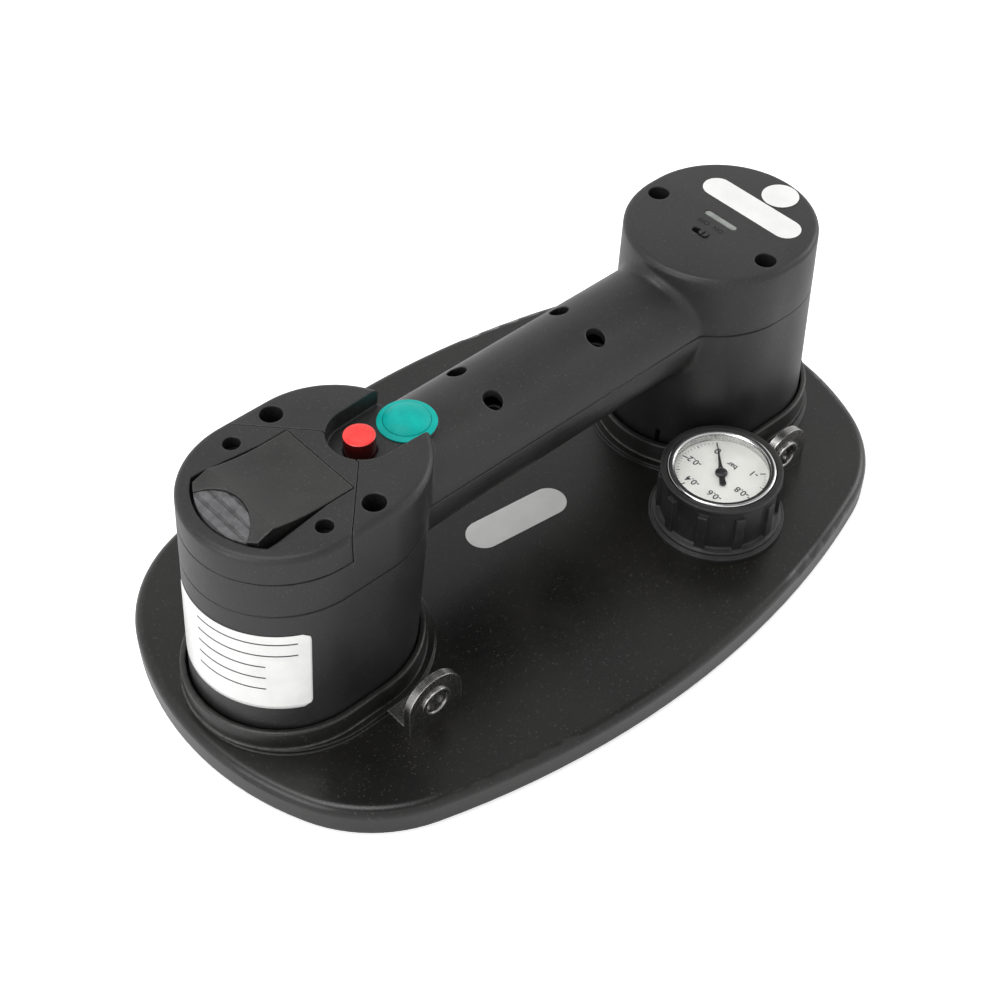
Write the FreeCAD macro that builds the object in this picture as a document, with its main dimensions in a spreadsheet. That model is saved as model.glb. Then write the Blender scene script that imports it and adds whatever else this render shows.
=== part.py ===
"""Battery suction lifter for floor tiles and slabs: an oval vacuum plate with a battery tower, a pump
tower, a round grip between them and a vacuum gauge. X runs along the grip, Z is up, z = 0 is the seal."""
import FreeCAD, Part
import Sketcher
import math
import os

os.makedirs("parts", exist_ok=True)
doc = FreeCAD.newDocument("suction_lifter")

# ---------------------------------------------------------------- driving dimensions, millimetres
SIZES = """
plate_length 298          plate_width 189.2         plate_side_radius 332     plate_end_radius 114
plate_corner_radius 57    plate_top 13.2            rim_bottom 2.5            plate_skin 4
plate_edge_round 3.4      chamber_inset 25          groove_inset 8            groove_width 6
groove_depth 3.5          seal_inset 1.2            seal_width 19             rib_width 2.2
rib_drop 3.4              rib_pitch 40              long_rib_y 24             fit_gap 0.3
step_rise 1.6             step_radius 39            step_far_x 105            step_near_x 91.5
bead_rise 2.6             bead_radius 35.6          bead_width 1.5            bead_far_x 107.5
bead_near_x 93            wall 3                    tower_top 101             seam_height 76
tower_foot_radius 33.7    tower_foot_far 107.5      tower_foot_near 93        battery_top_radius 33.5
battery_top_far 101.5     battery_top_near 82.5     pump_top_radius 34.6      pump_top_near 98
pump_top_far 101.6        top_edge_round 2.4        grip_radius 21.5          grip_height 73
grip_end_x 70             collar_round 5            cap_seam 90               chevron_x 78
chevron_y 9.5             chevron_slope 0.92        recess_half 12.5          recess_x 68.5
recess_floor 94.3         recess_mouth_half 13.6    foot_flange 3             foot_opening 16
grip_screw_a 21           grip_screw_b 27           grip_screw_y 9.2          grip_screw_hole 3.5
screw_boss 4.6            screw_pilot 1.3           tower_screw_hole 4        battery_screw_x 85.7
battery_screw_y 26.4      pump_screw_x 94.2         pump_screw_y 26.6         screw_shank 1.25
screw_head 2.8            screw_head_thick 2.2      screw_seat 81             base_screw_far 116
base_screw_near 76        base_screw_y 20           case_radius 27.6          case_axis_x 102
case_bottom 22            case_wall 1.8             case_back_inset 2.2       cell_radius 9
cell_length 65            latch_half 17             latch_crease_x 96.5       latch_ridge_x 117.2
latch_end_x 129           latch_rise 3.2            latch_end_drop 1          latch_thick 5
latch_notch_flare 3       latch_pin_radius 1.25     cap_screw_x 103.3         cap_screw_y 24
cap_screw_hole 3          power_x 50.6              power_radius 10           power_dome 3.6
power_flange 1.1          power_stem 4              power_well 1.5            power_dome_radius 8
vent_y 12                 vent_width 1.8            vent_low 19.5             vent_high 27
release_x 70.4            release_radius 5.4        release_top 101.2         valve_radius 7.2
valve_bottom 58           hose_radius 4             hose_bore 2.45            led_x 99.5
led_length 15             led_width 2.8             slide_x 88.6              slide_length 7.6
slide_width 3.2           slide_travel 3            motor_x 102               motor_y 9
motor_radius 12.2         motor_length 38           motor_bottom 52           shaft_radius 1.15
crank_bottom 27           crank_radius 14           cam_radius 5              cam_throw 1
rod_ring 8                diaphragm_radius 11       head_depth 12             gauge_x 57
gauge_y 48.8              gauge_radius 20           gauge_face 38             boot_lip_radius 22.6
boot_body_radius 21.4     boot_foot_radius 25.4     boot_rib_count 10         boot_rib_width 3.6
boot_rib_rise 1.5         lug_x_battery 84          lug_x_pump 91.5           lug_y 50
lug_radius 11.5           lug_hole_height 23        lug_thick 3               lug_foot 12
lug_eye 4.2               eye_flange 6.2
"""

sheet = doc.addObject("Spreadsheet::Sheet", "Sizes")
words = SIZES.split()
for row, (alias, number) in enumerate(zip(words[0::2], words[1::2]), start=1):
    sheet.set(f"A{row}", alias)
    sheet.set(f"B{row}", number)
    sheet.setAlias(f"B{row}", alias)
doc.recompute()


class Dim:
    """A length that carries its value and the spreadsheet formula it comes from."""

    def __init__(self, value, text):
        self.value = float(value)
        self.text = text

    def __add__(self, other):
        other = dim(other)
        return Dim(self.value + other.value, f"({self.text} + {other.text})")

    def __sub__(self, other):
        other = dim(other)
        return Dim(self.value - other.value, f"({self.text} - {other.text})")

    def __mul__(self, other):
        other = dim(other)
        return Dim(self.value * other.value, f"({self.text} * {other.text})")

    def __truediv__(self, other):
        other = dim(other)
        return Dim(self.value / other.value, f"({self.text} / {other.text})")

    def __neg__(self):
        return Dim(-self.value, f"(-1 * {self.text})")

    def __radd__(self, other):
        return dim(other) + self

    def __rsub__(self, other):
        return dim(other) - self

    def __rmul__(self, other):
        return dim(other) * self


def dim(number):
    return number if isinstance(number, Dim) else Dim(number, f"{float(number):.6f}")


class Sheet:
    """Reads a driving dimension by its alias: S.plate_top."""

    def __getattr__(self, alias):
        return Dim(sheet.get(alias), f"Sizes.{alias}")


S = Sheet()
SUBPARTS = []


# ---------------------------------------------------------------- document helpers
def bind(thing, path, length):
    """Sets a property and ties it to the sheet."""
    thing.setExpression(path, dim(length).text)


def new_body(name, x=0, y=0, z=0, turn=None):
    """An empty body whose own origin sits at (x, y, z), turned by an optional (axis, degrees)."""
    body = doc.addObject("PartDesign::Body", name)
    body.Label = name
    body.AllowCompound = True
    if turn:
        rotation = FreeCAD.Rotation(FreeCAD.Vector(*turn[0]), turn[1])
        body.Placement = FreeCAD.Placement(FreeCAD.Vector(), rotation)
    for axis, length in (("x", x), ("y", y), ("z", z)):
        bind(body, f"Placement.Base.{axis}", length)
    SUBPARTS.append(body)
    return body


def new_sketch(body, plane="XY", offset=0):
    """A sketch on one of the body's own origin planes, lifted along the plane's normal."""
    sketch = body.newObject("Sketcher::SketchObject", f"{body.Name}_sketch")
    base = next(item for item in body.Origin.OriginFeatures if item.Role == f"{plane}_Plane")
    sketch.AttachmentSupport = [(base, "")]
    sketch.MapMode = "FlatFace"
    bind(sketch, "AttachmentOffset.Base.z", offset)
    return sketch


def hold(sketch, kind, *args):
    """Adds a dimension constraint whose last argument is a Dim, and ties it to the sheet."""
    length = dim(args[-1])
    index = sketch.addConstraint(Sketcher.Constraint(kind, *args[:-1], length.value))
    sketch.setExpression(f"Constraints[{index}]", length.text)


def pin_point(sketch, geo, point, x, y):
    """Holds one point of a curve at (x, y) from the sketch's origin."""
    hold(sketch, "DistanceX", -1, 1, geo, point, x)
    hold(sketch, "DistanceY", -1, 1, geo, point, y)


def add_circle(sketch, x, y, radius):
    x, y, radius = dim(x), dim(y), dim(radius)
    centre = FreeCAD.Vector(x.value, y.value, 0)
    geo = sketch.addGeometry(Part.Circle(centre, FreeCAD.Vector(0, 0, 1), radius.value))
    hold(sketch, "Radius", geo, radius)
    pin_point(sketch, geo, 3, x, y)


def add_polygon(sketch, points):
    """A closed outline of straight sides through (x, y) points."""
    points = [(dim(x), dim(y)) for x, y in points]
    corners = [FreeCAD.Vector(x.value, y.value, 0) for x, y in points]
    first = sketch.GeometryCount
    for index, corner in enumerate(corners):
        sketch.addGeometry(Part.LineSegment(corner, corners[(index + 1) % len(corners)]))
    for index, (x, y) in enumerate(points):
        after = (index + 1) % len(points)
        sketch.addConstraint(Sketcher.Constraint("Coincident", first + index, 2, first + after, 1))
        pin_point(sketch, first + index, 1, x, y)


def add_rectangle(sketch, x0, y0, x1, y1):
    add_polygon(sketch, [(x0, y0), (x1, y0), (x1, y1), (x0, y1)])


def add_arc(sketch, x, y, radius, start, end):
    centre = FreeCAD.Vector(dim(x).value, dim(y).value, 0)
    circle = Part.Circle(centre, FreeCAD.Vector(0, 0, 1), dim(radius).value)
    return sketch.addGeometry(Part.ArcOfCircle(circle, start, end))


def add_stadium(sketch, x0, x1, radius, y=0):
    """Two half circles about (x0, y) and (x1, y), x0 < x1, joined by straight sides."""
    x0, x1, radius, y = dim(x0), dim(x1), dim(radius), dim(y)
    left = add_arc(sketch, x0, y, radius, math.pi / 2, 3 * math.pi / 2)
    low = sketch.addGeometry(Part.LineSegment(
        FreeCAD.Vector(x0.value, y.value - radius.value, 0),
        FreeCAD.Vector(x1.value, y.value - radius.value, 0)))
    right = add_arc(sketch, x1, y, radius, -math.pi / 2, math.pi / 2)
    high = sketch.addGeometry(Part.LineSegment(
        FreeCAD.Vector(x1.value, y.value + radius.value, 0),
        FreeCAD.Vector(x0.value, y.value + radius.value, 0)))
    for a, b in ((left, low), (low, right), (right, high), (high, left)):
        sketch.addConstraint(Sketcher.Constraint("Tangent", a, 2, b, 1))
    hold(sketch, "Radius", left, radius)
    sketch.addConstraint(Sketcher.Constraint("Equal", left, right))
    pin_point(sketch, left, 3, x0, y)
    pin_point(sketch, right, 3, x1, y)


def add_slot(sketch, x, y, half_long, half_wide):
    """A slot with round ends that lies along Y."""
    end = half_long - half_wide
    bend = half_wide * 1.0001
    add_path(sketch, [
        (x + half_wide, y - end), (x + half_wide, y + end, bend, 1), (x, y + end + half_wide, bend, 1),
        (x - half_wide, y + end), (x - half_wide, y - end, bend, 1), (x, y - end - half_wide, bend, 1)])


def add_oval(sketch, inset=0):
    """The plate's outline: two long side arcs, two end arcs and four corner arcs, all tangent, moved in
    by the inset."""
    inset = dim(inset)
    side, end = S.plate_side_radius - inset, S.plate_end_radius - inset
    corner = S.plate_corner_radius - inset
    side_y = S.plate_width / 2 - S.plate_side_radius
    end_x = S.plate_length / 2 - S.plate_end_radius
    # the corner arc's centre lies where it touches both neighbours from inside
    reach_side = side.value - corner.value
    reach_end = end.value - corner.value
    span = math.hypot(end_x.value, side_y.value)
    along = (reach_side ** 2 - reach_end ** 2 + span ** 2) / (2 * span)
    across = math.sqrt(reach_side ** 2 - along ** 2)
    ux, uy = end_x.value / span, -side_y.value / span
    cx = ux * along + uy * across
    cy = side_y.value + uy * along - ux * across
    tilt_end = math.atan2(cy, cx - end_x.value)
    tilt_side = math.atan2(cy - side_y.value, cx)
    quarter, half = math.pi / 2, math.pi
    arcs = (
        add_arc(sketch, end_x, 0, end, -tilt_end, tilt_end),
        add_arc(sketch, cx, cy, corner, tilt_end, tilt_side),
        add_arc(sketch, 0, side_y, side, tilt_side, half - tilt_side),
        add_arc(sketch, -cx, cy, corner, half - tilt_side, half - tilt_end),
        add_arc(sketch, -end_x, 0, end, half - tilt_end, half + tilt_end),
        add_arc(sketch, -cx, -cy, corner, half + tilt_end, half + tilt_side),
        add_arc(sketch, 0, -side_y, side, half + tilt_side, 2 * half - tilt_side),
        add_arc(sketch, cx, -cy, corner, 2 * half - tilt_side, 2 * half - tilt_end),
    )
    for index, arc in enumerate(arcs):
        sketch.addConstraint(Sketcher.Constraint("Tangent", arc, 2, arcs[(index + 1) % 8], 1))
    for arc, x, y, radius in ((arcs[0], end_x, 0, end), (arcs[4], -end_x, 0, end),
                              (arcs[2], 0, side_y, side), (arcs[6], 0, -side_y, side)):
        pin_point(sketch, arc, 3, x, y)
        hold(sketch, "Radius", arc, radius)
    for arc in arcs[1::2]:
        hold(sketch, "Radius", arc, corner)


VOLUMES = {}


def finish_feature(body, feature, grows):
    """Recomputes and stops if the feature failed or did not change the solid the way it should."""
    before = VOLUMES.get(body.Label, 0.0)
    doc.recompute()
    after = feature.Shape.Volume
    if "Invalid" in feature.State or "Error" in feature.State:
        raise RuntimeError(f"{body.Label}: {feature.Name} failed")
    if (grows and after <= before + 1e-6) or (grows is False and after >= before - 1e-6):
        raise RuntimeError(f"{body.Label}: {feature.Name} changed nothing, {before:.1f} to {after:.1f}")
    body.Tip = feature
    VOLUMES[body.Label] = after
    return feature


def extrude(body, sketch, length, cut=False, back=False):
    """Pads or pockets a sketch by a length along its normal, or against it with back."""
    feature = body.newObject("PartDesign::Pocket" if cut else "PartDesign::Pad", "step")
    feature.Profile = sketch
    feature.Length = dim(length).value
    bind(feature, "Length", length)
    feature.Reversed = (not back) if cut else back
    return finish_feature(body, feature, not cut)


def loft(body, low, high, cut=False):
    feature = body.newObject("PartDesign::SubtractiveLoft" if cut else "PartDesign::AdditiveLoft", "taper")
    feature.Profile = low
    feature.Sections = [high]
    feature.Ruled = True
    return finish_feature(body, feature, not cut)


def spin(body, sketch, cut=False, axis="V_Axis"):
    feature = body.newObject("PartDesign::Groove" if cut else "PartDesign::Revolution", "turn")
    feature.Profile = sketch
    feature.ReferenceAxis = (sketch, [axis])
    feature.Angle = 360
    return finish_feature(body, feature, not cut)


def repeat_round(body, features, count):
    """A polar pattern about the body's own Z axis."""
    pattern = body.newObject("PartDesign::PolarPattern", "ring")
    pattern.Originals = features
    pattern.Axis = (next(item for item in body.Origin.OriginFeatures if item.Role == "Z_Axis"), [""])
    pattern.Angle = 360
    pattern.Occurrences = int(dim(count).value)
    bind(pattern, "Occurrences", count)
    body.Tip = pattern
    return finish_feature(body, pattern, None)


def repeat_row(body, features, length, count):
    """A linear pattern along the body's own X axis."""
    pattern = body.newObject("PartDesign::LinearPattern", "row")
    pattern.Originals = features
    pattern.Direction = (next(item for item in body.Origin.OriginFeatures if item.Role == "X_Axis"), [""])
    pattern.Length = dim(length).value
    bind(pattern, "Length", length)
    pattern.Occurrences = count
    return finish_feature(body, pattern, None)


def round_edges(body, wanted, radius):
    """Rounds the edges that the test picks from the body's tip."""
    base = body.Tip
    names = [f"Edge{index}" for index, edge in enumerate(base.Shape.Edges, start=1) if wanted(edge)]
    if not names:
        raise RuntimeError(f"{body.Label}: no edge to round")
    fillet = body.newObject("PartDesign::Fillet", "round")
    fillet.Base = (base, names)
    fillet.Radius = dim(radius).value
    bind(fillet, "Radius", radius)
    return finish_feature(body, fillet, None)


def level_edge(z, tolerance=0.01):
    """A test for edges that lie wholly at one height."""
    height = dim(z).value
    return lambda edge: (
        abs(edge.BoundBox.ZMin - height) < tolerance and abs(edge.BoundBox.ZMax - height) < tolerance)


def turned(name, outline, x=0, y=0, z=0, turn=None):
    """A turned piece: a closed (radius, height) outline spun about the body's own Z axis."""
    body = new_body(name, x, y, z, turn)
    sketch = new_sketch(body, "XZ")
    add_polygon(sketch, outline)
    spin(body, sketch)
    return body


def tube_outline(inner, outer, low, high):
    return [(inner, low), (outer, low), (outer, high), (inner, high)]


def add_path(sketch, points):
    """A closed outline. Each point is (x, y) or (x, y, radius, sign): with a radius, the side that leaves
    the point is an arc of less than half a turn, centred to its left for sign +1 and right for -1."""
    spots = [(dim(point[0]), dim(point[1])) for point in points]
    first = sketch.GeometryCount
    starts = []
    for index, point in enumerate(points):
        x0, y0 = (item.value for item in spots[index])
        x1, y1 = (item.value for item in spots[(index + 1) % len(points)])
        if len(point) == 2:
            sketch.addGeometry(Part.LineSegment(FreeCAD.Vector(x0, y0, 0), FreeCAD.Vector(x1, y1, 0)))
            starts.append((1, 2))
            continue
        radius, sign = dim(point[2]), point[3]
        chord = math.hypot(x1 - x0, y1 - y0)
        rise = math.sqrt(radius.value ** 2 - chord ** 2 / 4)
        cx = (x0 + x1) / 2 - sign * rise * (y1 - y0) / chord
        cy = (y0 + y1) / 2 + sign * rise * (x1 - x0) / chord
        begin, end = math.atan2(y0 - cy, x0 - cx), math.atan2(y1 - cy, x1 - cx)
        if sign > 0:
            add_arc(sketch, cx, cy, radius, begin, end if end > begin else end + 2 * math.pi)
            starts.append((1, 2))
        else:
            add_arc(sketch, cx, cy, radius, end, begin if begin > end else begin + 2 * math.pi)
            starts.append((2, 1))
    for index, point in enumerate(points):
        after = (index + 1) % len(points)
        sketch.addConstraint(Sketcher.Constraint(
            "Coincident", first + index, starts[index][1], first + after, starts[after][0]))
        pin_point(sketch, first + index, starts[index][0], *spots[index])
        if len(point) > 2:
            hold(sketch, "Radius", first + index, point[2])


# ---------------------------------------------------------------- shared forms
FOOT = S.plate_top + S.step_rise
CAVITY_TOP = S.tower_top - S.wall
CAP_BOTTOM = S.cap_seam + S.fit_gap
BATTERY, PUMP = -1, 1


def tower_section(side, height):
    """The tower's half-circle centres and radius at a height: both ends lean as the walls rise."""
    share = (height - FOOT) / (S.tower_top - FOOT)
    top_far = S.battery_top_far if side == BATTERY else S.pump_top_far
    top_near = S.battery_top_near if side == BATTERY else S.pump_top_near
    top_radius = S.battery_top_radius if side == BATTERY else S.pump_top_radius
    far = S.tower_foot_far + (top_far - S.tower_foot_far) * share
    near = S.tower_foot_near + (top_near - S.tower_foot_near) * share
    radius = S.tower_foot_radius + (top_radius - S.tower_foot_radius) * share
    return (-far, -near, radius) if side == BATTERY else (near, far, radius)


def tower_loft(body, side, low, high, inset=0, cut=False):
    sections = []
    for height in (dim(low), dim(high)):
        x0, x1, radius = tower_section(side, height)
        sketch = new_sketch(body, "XY", height)
        add_stadium(sketch, x0, x1, radius - inset)
        sections.append(sketch)
    return loft(body, *sections, cut=cut)


def grip_rod(body, radius, start, stop, cut=False):
    sketch = new_sketch(body, "YZ", start)
    add_circle(sketch, 0, S.grip_height, radius)
    return extrude(body, sketch, dim(stop) - start, cut=cut)


def chevron_at(y, gap=0):
    """Where the seam between the battery's cap and the housing crosses a distance y from the middle."""
    return -(S.chevron_x + (dim(y) - S.chevron_y) * S.chevron_slope) - gap


def cut_beyond_chevron(body, low, high, gap):
    """Removes what lies on the grip's side of the chevron seam."""
    reach = S.tower_foot_radius + 10
    sketch = new_sketch(body, "XY", low)
    add_polygon(sketch, [
        (chevron_at(reach, gap), -reach), (0, -reach), (0, reach), (chevron_at(reach, gap), reach),
        (chevron_at(S.chevron_y, gap), S.chevron_y), (chevron_at(S.chevron_y, gap), -S.chevron_y)])
    return extrude(body, sketch, dim(high) - low, cut=True)


def recess_sketch(body, height, grow=0, mouth=-(S.power_x - S.power_radius)):
    """The finger recess round the two buttons: round at the battery, open and flared at the grip."""
    half = S.recess_half + grow
    sketch = new_sketch(body, "XY", height)
    add_path(sketch, [
        (-S.recess_x, half, half * 1.0001, 1), (-(S.recess_x + half), 0, half * 1.0001, 1),
        (-S.recess_x, -half), (mouth, -(S.recess_mouth_half + grow)), (mouth, S.recess_mouth_half + grow)])
    return sketch


def collar_edges(edge):
    """The curves where the round grip runs into the towers."""
    if edge.Curve.TypeId == "Part::GeomLine":
        return False
    first, last = edge.ParameterRange
    for share in (0.1, 0.5, 0.9):
        point = edge.valueAt(first + (last - first) * share)
        if abs(math.hypot(point.y, point.z - S.grip_height.value) - S.grip_radius.value) > 0.02:
            return False
    return edge.BoundBox.YLength > 2 and abs(edge.CenterOfMass.x) > 45


def screw_columns(body, low, high, places, radius):
    sketch = new_sketch(body, "XY", low)
    for x, y in places:
        add_circle(sketch, x, y, radius)
    return extrude(body, sketch, dim(high) - low)


def drill(body, low, high, places, radius):
    sketch = new_sketch(body, "XY", low)
    for x, y in places:
        add_circle(sketch, x, y, radius)
    return extrude(body, sketch, dim(high) - low, cut=True)


GRIP_SCREWS = [(x, y) for x in (-S.grip_screw_a, S.grip_screw_b) for y in (-S.grip_screw_y, S.grip_screw_y)]
TOWER_SCREWS = [(-S.battery_screw_x, -S.battery_screw_y), (-S.battery_screw_x, S.battery_screw_y),
                (S.pump_screw_x, -S.pump_screw_y), (S.pump_screw_x, S.pump_screw_y)]
BASE_SCREWS = [(side * x, y) for side in (-1, 1) for x in (S.base_screw_near, S.base_screw_far)
               for y in (-S.base_screw_y, S.base_screw_y)]
CAP_SCREWS = [(-S.cap_screw_x, -S.cap_screw_y), (-S.cap_screw_x, S.cap_screw_y)]
CEILING = S.plate_top - S.plate_skin
NIPPLE_TOP = FOOT + 9
NIPPLE = S.hose_bore - 0.05
SUCTION_PORT = (S.motor_x, -(S.head_depth - 1))
RELEASE_PORT = (-S.release_x, 0)
GAUGE_PORT = (S.gauge_x, -S.gauge_y)
LUG_SCREW_PITCH = 6
LUG_SCREWS = [(x + step, S.lug_foot / 2 - S.lug_y) for x in (-S.lug_x_battery, S.lug_x_pump)
              for step in (-LUG_SCREW_PITCH, LUG_SCREW_PITCH)]
GAUGE_BOSS = 9
GAUGE_THREAD = 4.8
PORT_BORE = 1.4
FILTER_RADIUS = 10
FILTER_WALL = 2.2
RIB_START = -10


# ---------------------------------------------------------------- plate
def base_plate():
    """The moulded oval plate: skirt, seal groove, ribbed vacuum chamber beneath, stepped beads on top."""
    body = new_body("base_plate")
    blank = new_sketch(body, "XY", S.rim_bottom)
    add_oval(blank)
    extrude(body, blank, S.plate_top - S.rim_bottom)
    round_edges(body, level_edge(S.plate_top), S.plate_edge_round)
    step = new_sketch(body, "XY", S.plate_top - 1)
    bead = new_sketch(body, "XY", FOOT - 1)
    for side in (-1, 1):
        ends = sorted((side * S.step_near_x, side * S.step_far_x), key=lambda item: item.value)
        add_stadium(step, *ends, S.step_radius)
        ends = sorted((side * S.bead_near_x, side * S.bead_far_x), key=lambda item: item.value)
        add_stadium(bead, *ends, S.bead_radius)
        add_stadium(bead, *ends, S.bead_radius - S.bead_width)
    extrude(body, step, S.step_rise + 1)
    drill(body, S.plate_top, FOOT, [GAUGE_PORT], S.boot_foot_radius + S.fit_gap)
    extrude(body, bead, S.bead_rise + 1)
    chamber = new_sketch(body, "XY", S.rim_bottom)
    add_oval(chamber, S.chamber_inset)
    extrude(body, chamber, CEILING - S.rim_bottom, cut=True)
    groove = new_sketch(body, "XY", S.rim_bottom)
    add_oval(groove, S.groove_inset)
    add_oval(groove, S.groove_inset + S.groove_width)
    extrude(body, groove, S.groove_depth, cut=True)
    rib_low = CEILING - S.rib_drop
    cross = new_sketch(body, "XY", rib_low)
    cross_x = S.rib_pitch * 2
    cross_y = S.plate_width / 2 - S.chamber_inset - 7.5
    add_rectangle(cross, -cross_x - S.rib_width / 2, -cross_y, -cross_x + S.rib_width / 2, cross_y)
    first_rib = extrude(body, cross, S.rib_drop)
    repeat_row(body, [first_rib], S.rib_pitch * 4, 5)
    along = new_sketch(body, "XY", rib_low)
    along_x = S.plate_length / 2 - S.chamber_inset - 6
    for y in (-S.long_rib_y, S.long_rib_y):
        add_rectangle(along, -along_x, y - S.rib_width / 2, along_x, y + S.rib_width / 2)
    extrude(body, along, S.rib_drop)
    filter_seat = new_sketch(body, "XY", rib_low)
    add_circle(filter_seat, *SUCTION_PORT, FILTER_RADIUS + S.fit_gap + FILTER_WALL)
    add_circle(filter_seat, *SUCTION_PORT, FILTER_RADIUS + S.fit_gap)
    extrude(body, filter_seat, S.rib_drop)
    screw_columns(body, rib_low, CEILING, [GAUGE_PORT], GAUGE_BOSS)
    screw_columns(body, rib_low, CEILING, LUG_SCREWS, S.screw_boss - 0.8)
    screw_columns(body, FOOT, NIPPLE_TOP, [SUCTION_PORT, RELEASE_PORT], NIPPLE)
    drill(body, rib_low, NIPPLE_TOP, [SUCTION_PORT, RELEASE_PORT], PORT_BORE)
    drill(body, rib_low, S.plate_top, [GAUGE_PORT], GAUGE_THREAD)
    drill(body, S.rim_bottom, FOOT, BASE_SCREWS, S.screw_shank + 0.3)
    drill(body, rib_low + 1, S.plate_top, LUG_SCREWS, S.screw_pilot)
    return body


def vacuum_seal():
    """The foam rubber ring that meets the slab, with a tongue pressed up into the plate's groove."""
    body = new_body("vacuum_seal")
    band = new_sketch(body, "XY", 0)
    add_oval(band, S.seal_inset)
    add_oval(band, S.seal_inset + S.seal_width)
    extrude(body, band, S.rim_bottom)
    tongue = new_sketch(body, "XY", S.rim_bottom)
    add_oval(tongue, S.groove_inset + S.fit_gap)
    add_oval(tongue, S.groove_inset + S.groove_width - S.fit_gap)
    extrude(body, tongue, S.groove_depth - S.fit_gap)
    return body


def inlet_filter():
    """The felt disc that keeps slab dust out of the pump."""
    low = CEILING - S.rib_drop + 1.2
    return turned("inlet_filter", tube_outline(0, FILTER_RADIUS, low, CEILING), *SUCTION_PORT)


def filter_cap():
    """The slotted disc that holds the felt in its seat."""
    body = new_body("filter_cap", *SUCTION_PORT)
    low = CEILING - S.rib_drop - 0.8
    disc = new_sketch(body, "XY", low)
    add_circle(disc, 0, 0, FILTER_RADIUS)
    extrude(body, disc, 2)
    slot = new_sketch(body, "XY", low)
    add_stadium(slot, FILTER_RADIUS * 0.42, FILTER_RADIUS * 0.76, 1)
    first_slot = extrude(body, slot, 2, cut=True)
    repeat_round(body, [first_slot], 10)
    return body


# ---------------------------------------------------------------- housing
def lower_housing():
    """One moulding: both tower walls on the plate and the lower half of the grip."""
    body = new_body("lower_housing")
    tower_loft(body, BATTERY, FOOT, S.seam_height)
    tower_loft(body, PUMP, FOOT, S.seam_height)
    grip_rod(body, S.grip_radius, -S.grip_end_x, S.grip_end_x + 10)
    above = new_sketch(body, "XY", S.seam_height)
    add_rectangle(above, -S.plate_length / 2, -S.plate_width / 2, S.plate_length / 2, S.plate_width / 2)
    extrude(body, above, S.tower_top, cut=True)
    round_edges(body, collar_edges, S.collar_round)
    flange_top = FOOT + S.foot_flange
    for side in (BATTERY, PUMP):
        tower_loft(body, side, flange_top, S.seam_height, S.wall, cut=True)
        x0, x1, _ = tower_section(side, FOOT)
        opening = new_sketch(body, "XY", FOOT)
        add_stadium(opening, x0, x1, S.foot_opening)
        extrude(body, opening, S.foot_flange, cut=True)
    grip_rod(body, S.grip_radius - S.wall, -(S.grip_end_x - 2), S.grip_end_x + 4, cut=True)
    column_low = S.grip_height - S.grip_radius + S.wall + 1.5
    screw_columns(body, column_low, S.seam_height, GRIP_SCREWS, S.screw_boss)
    screw_columns(body, S.seam_height - 30, S.seam_height, TOWER_SCREWS, S.screw_boss)
    drill(body, S.seam_height - 14, S.seam_height, GRIP_SCREWS + TOWER_SCREWS, S.screw_pilot)
    drill(body, FOOT, flange_top, BASE_SCREWS, S.screw_pilot)
    drill(body, FOOT, flange_top, [RELEASE_PORT], S.hose_radius + 1)
    vent = new_sketch(body, "YZ", S.tower_foot_near - S.tower_foot_radius - 5)
    add_rectangle(vent, -S.vent_y - S.vent_width / 2, S.vent_low, -S.vent_y + S.vent_width / 2, S.vent_high)
    extrude(body, vent, 15, cut=True)
    return body


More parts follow.
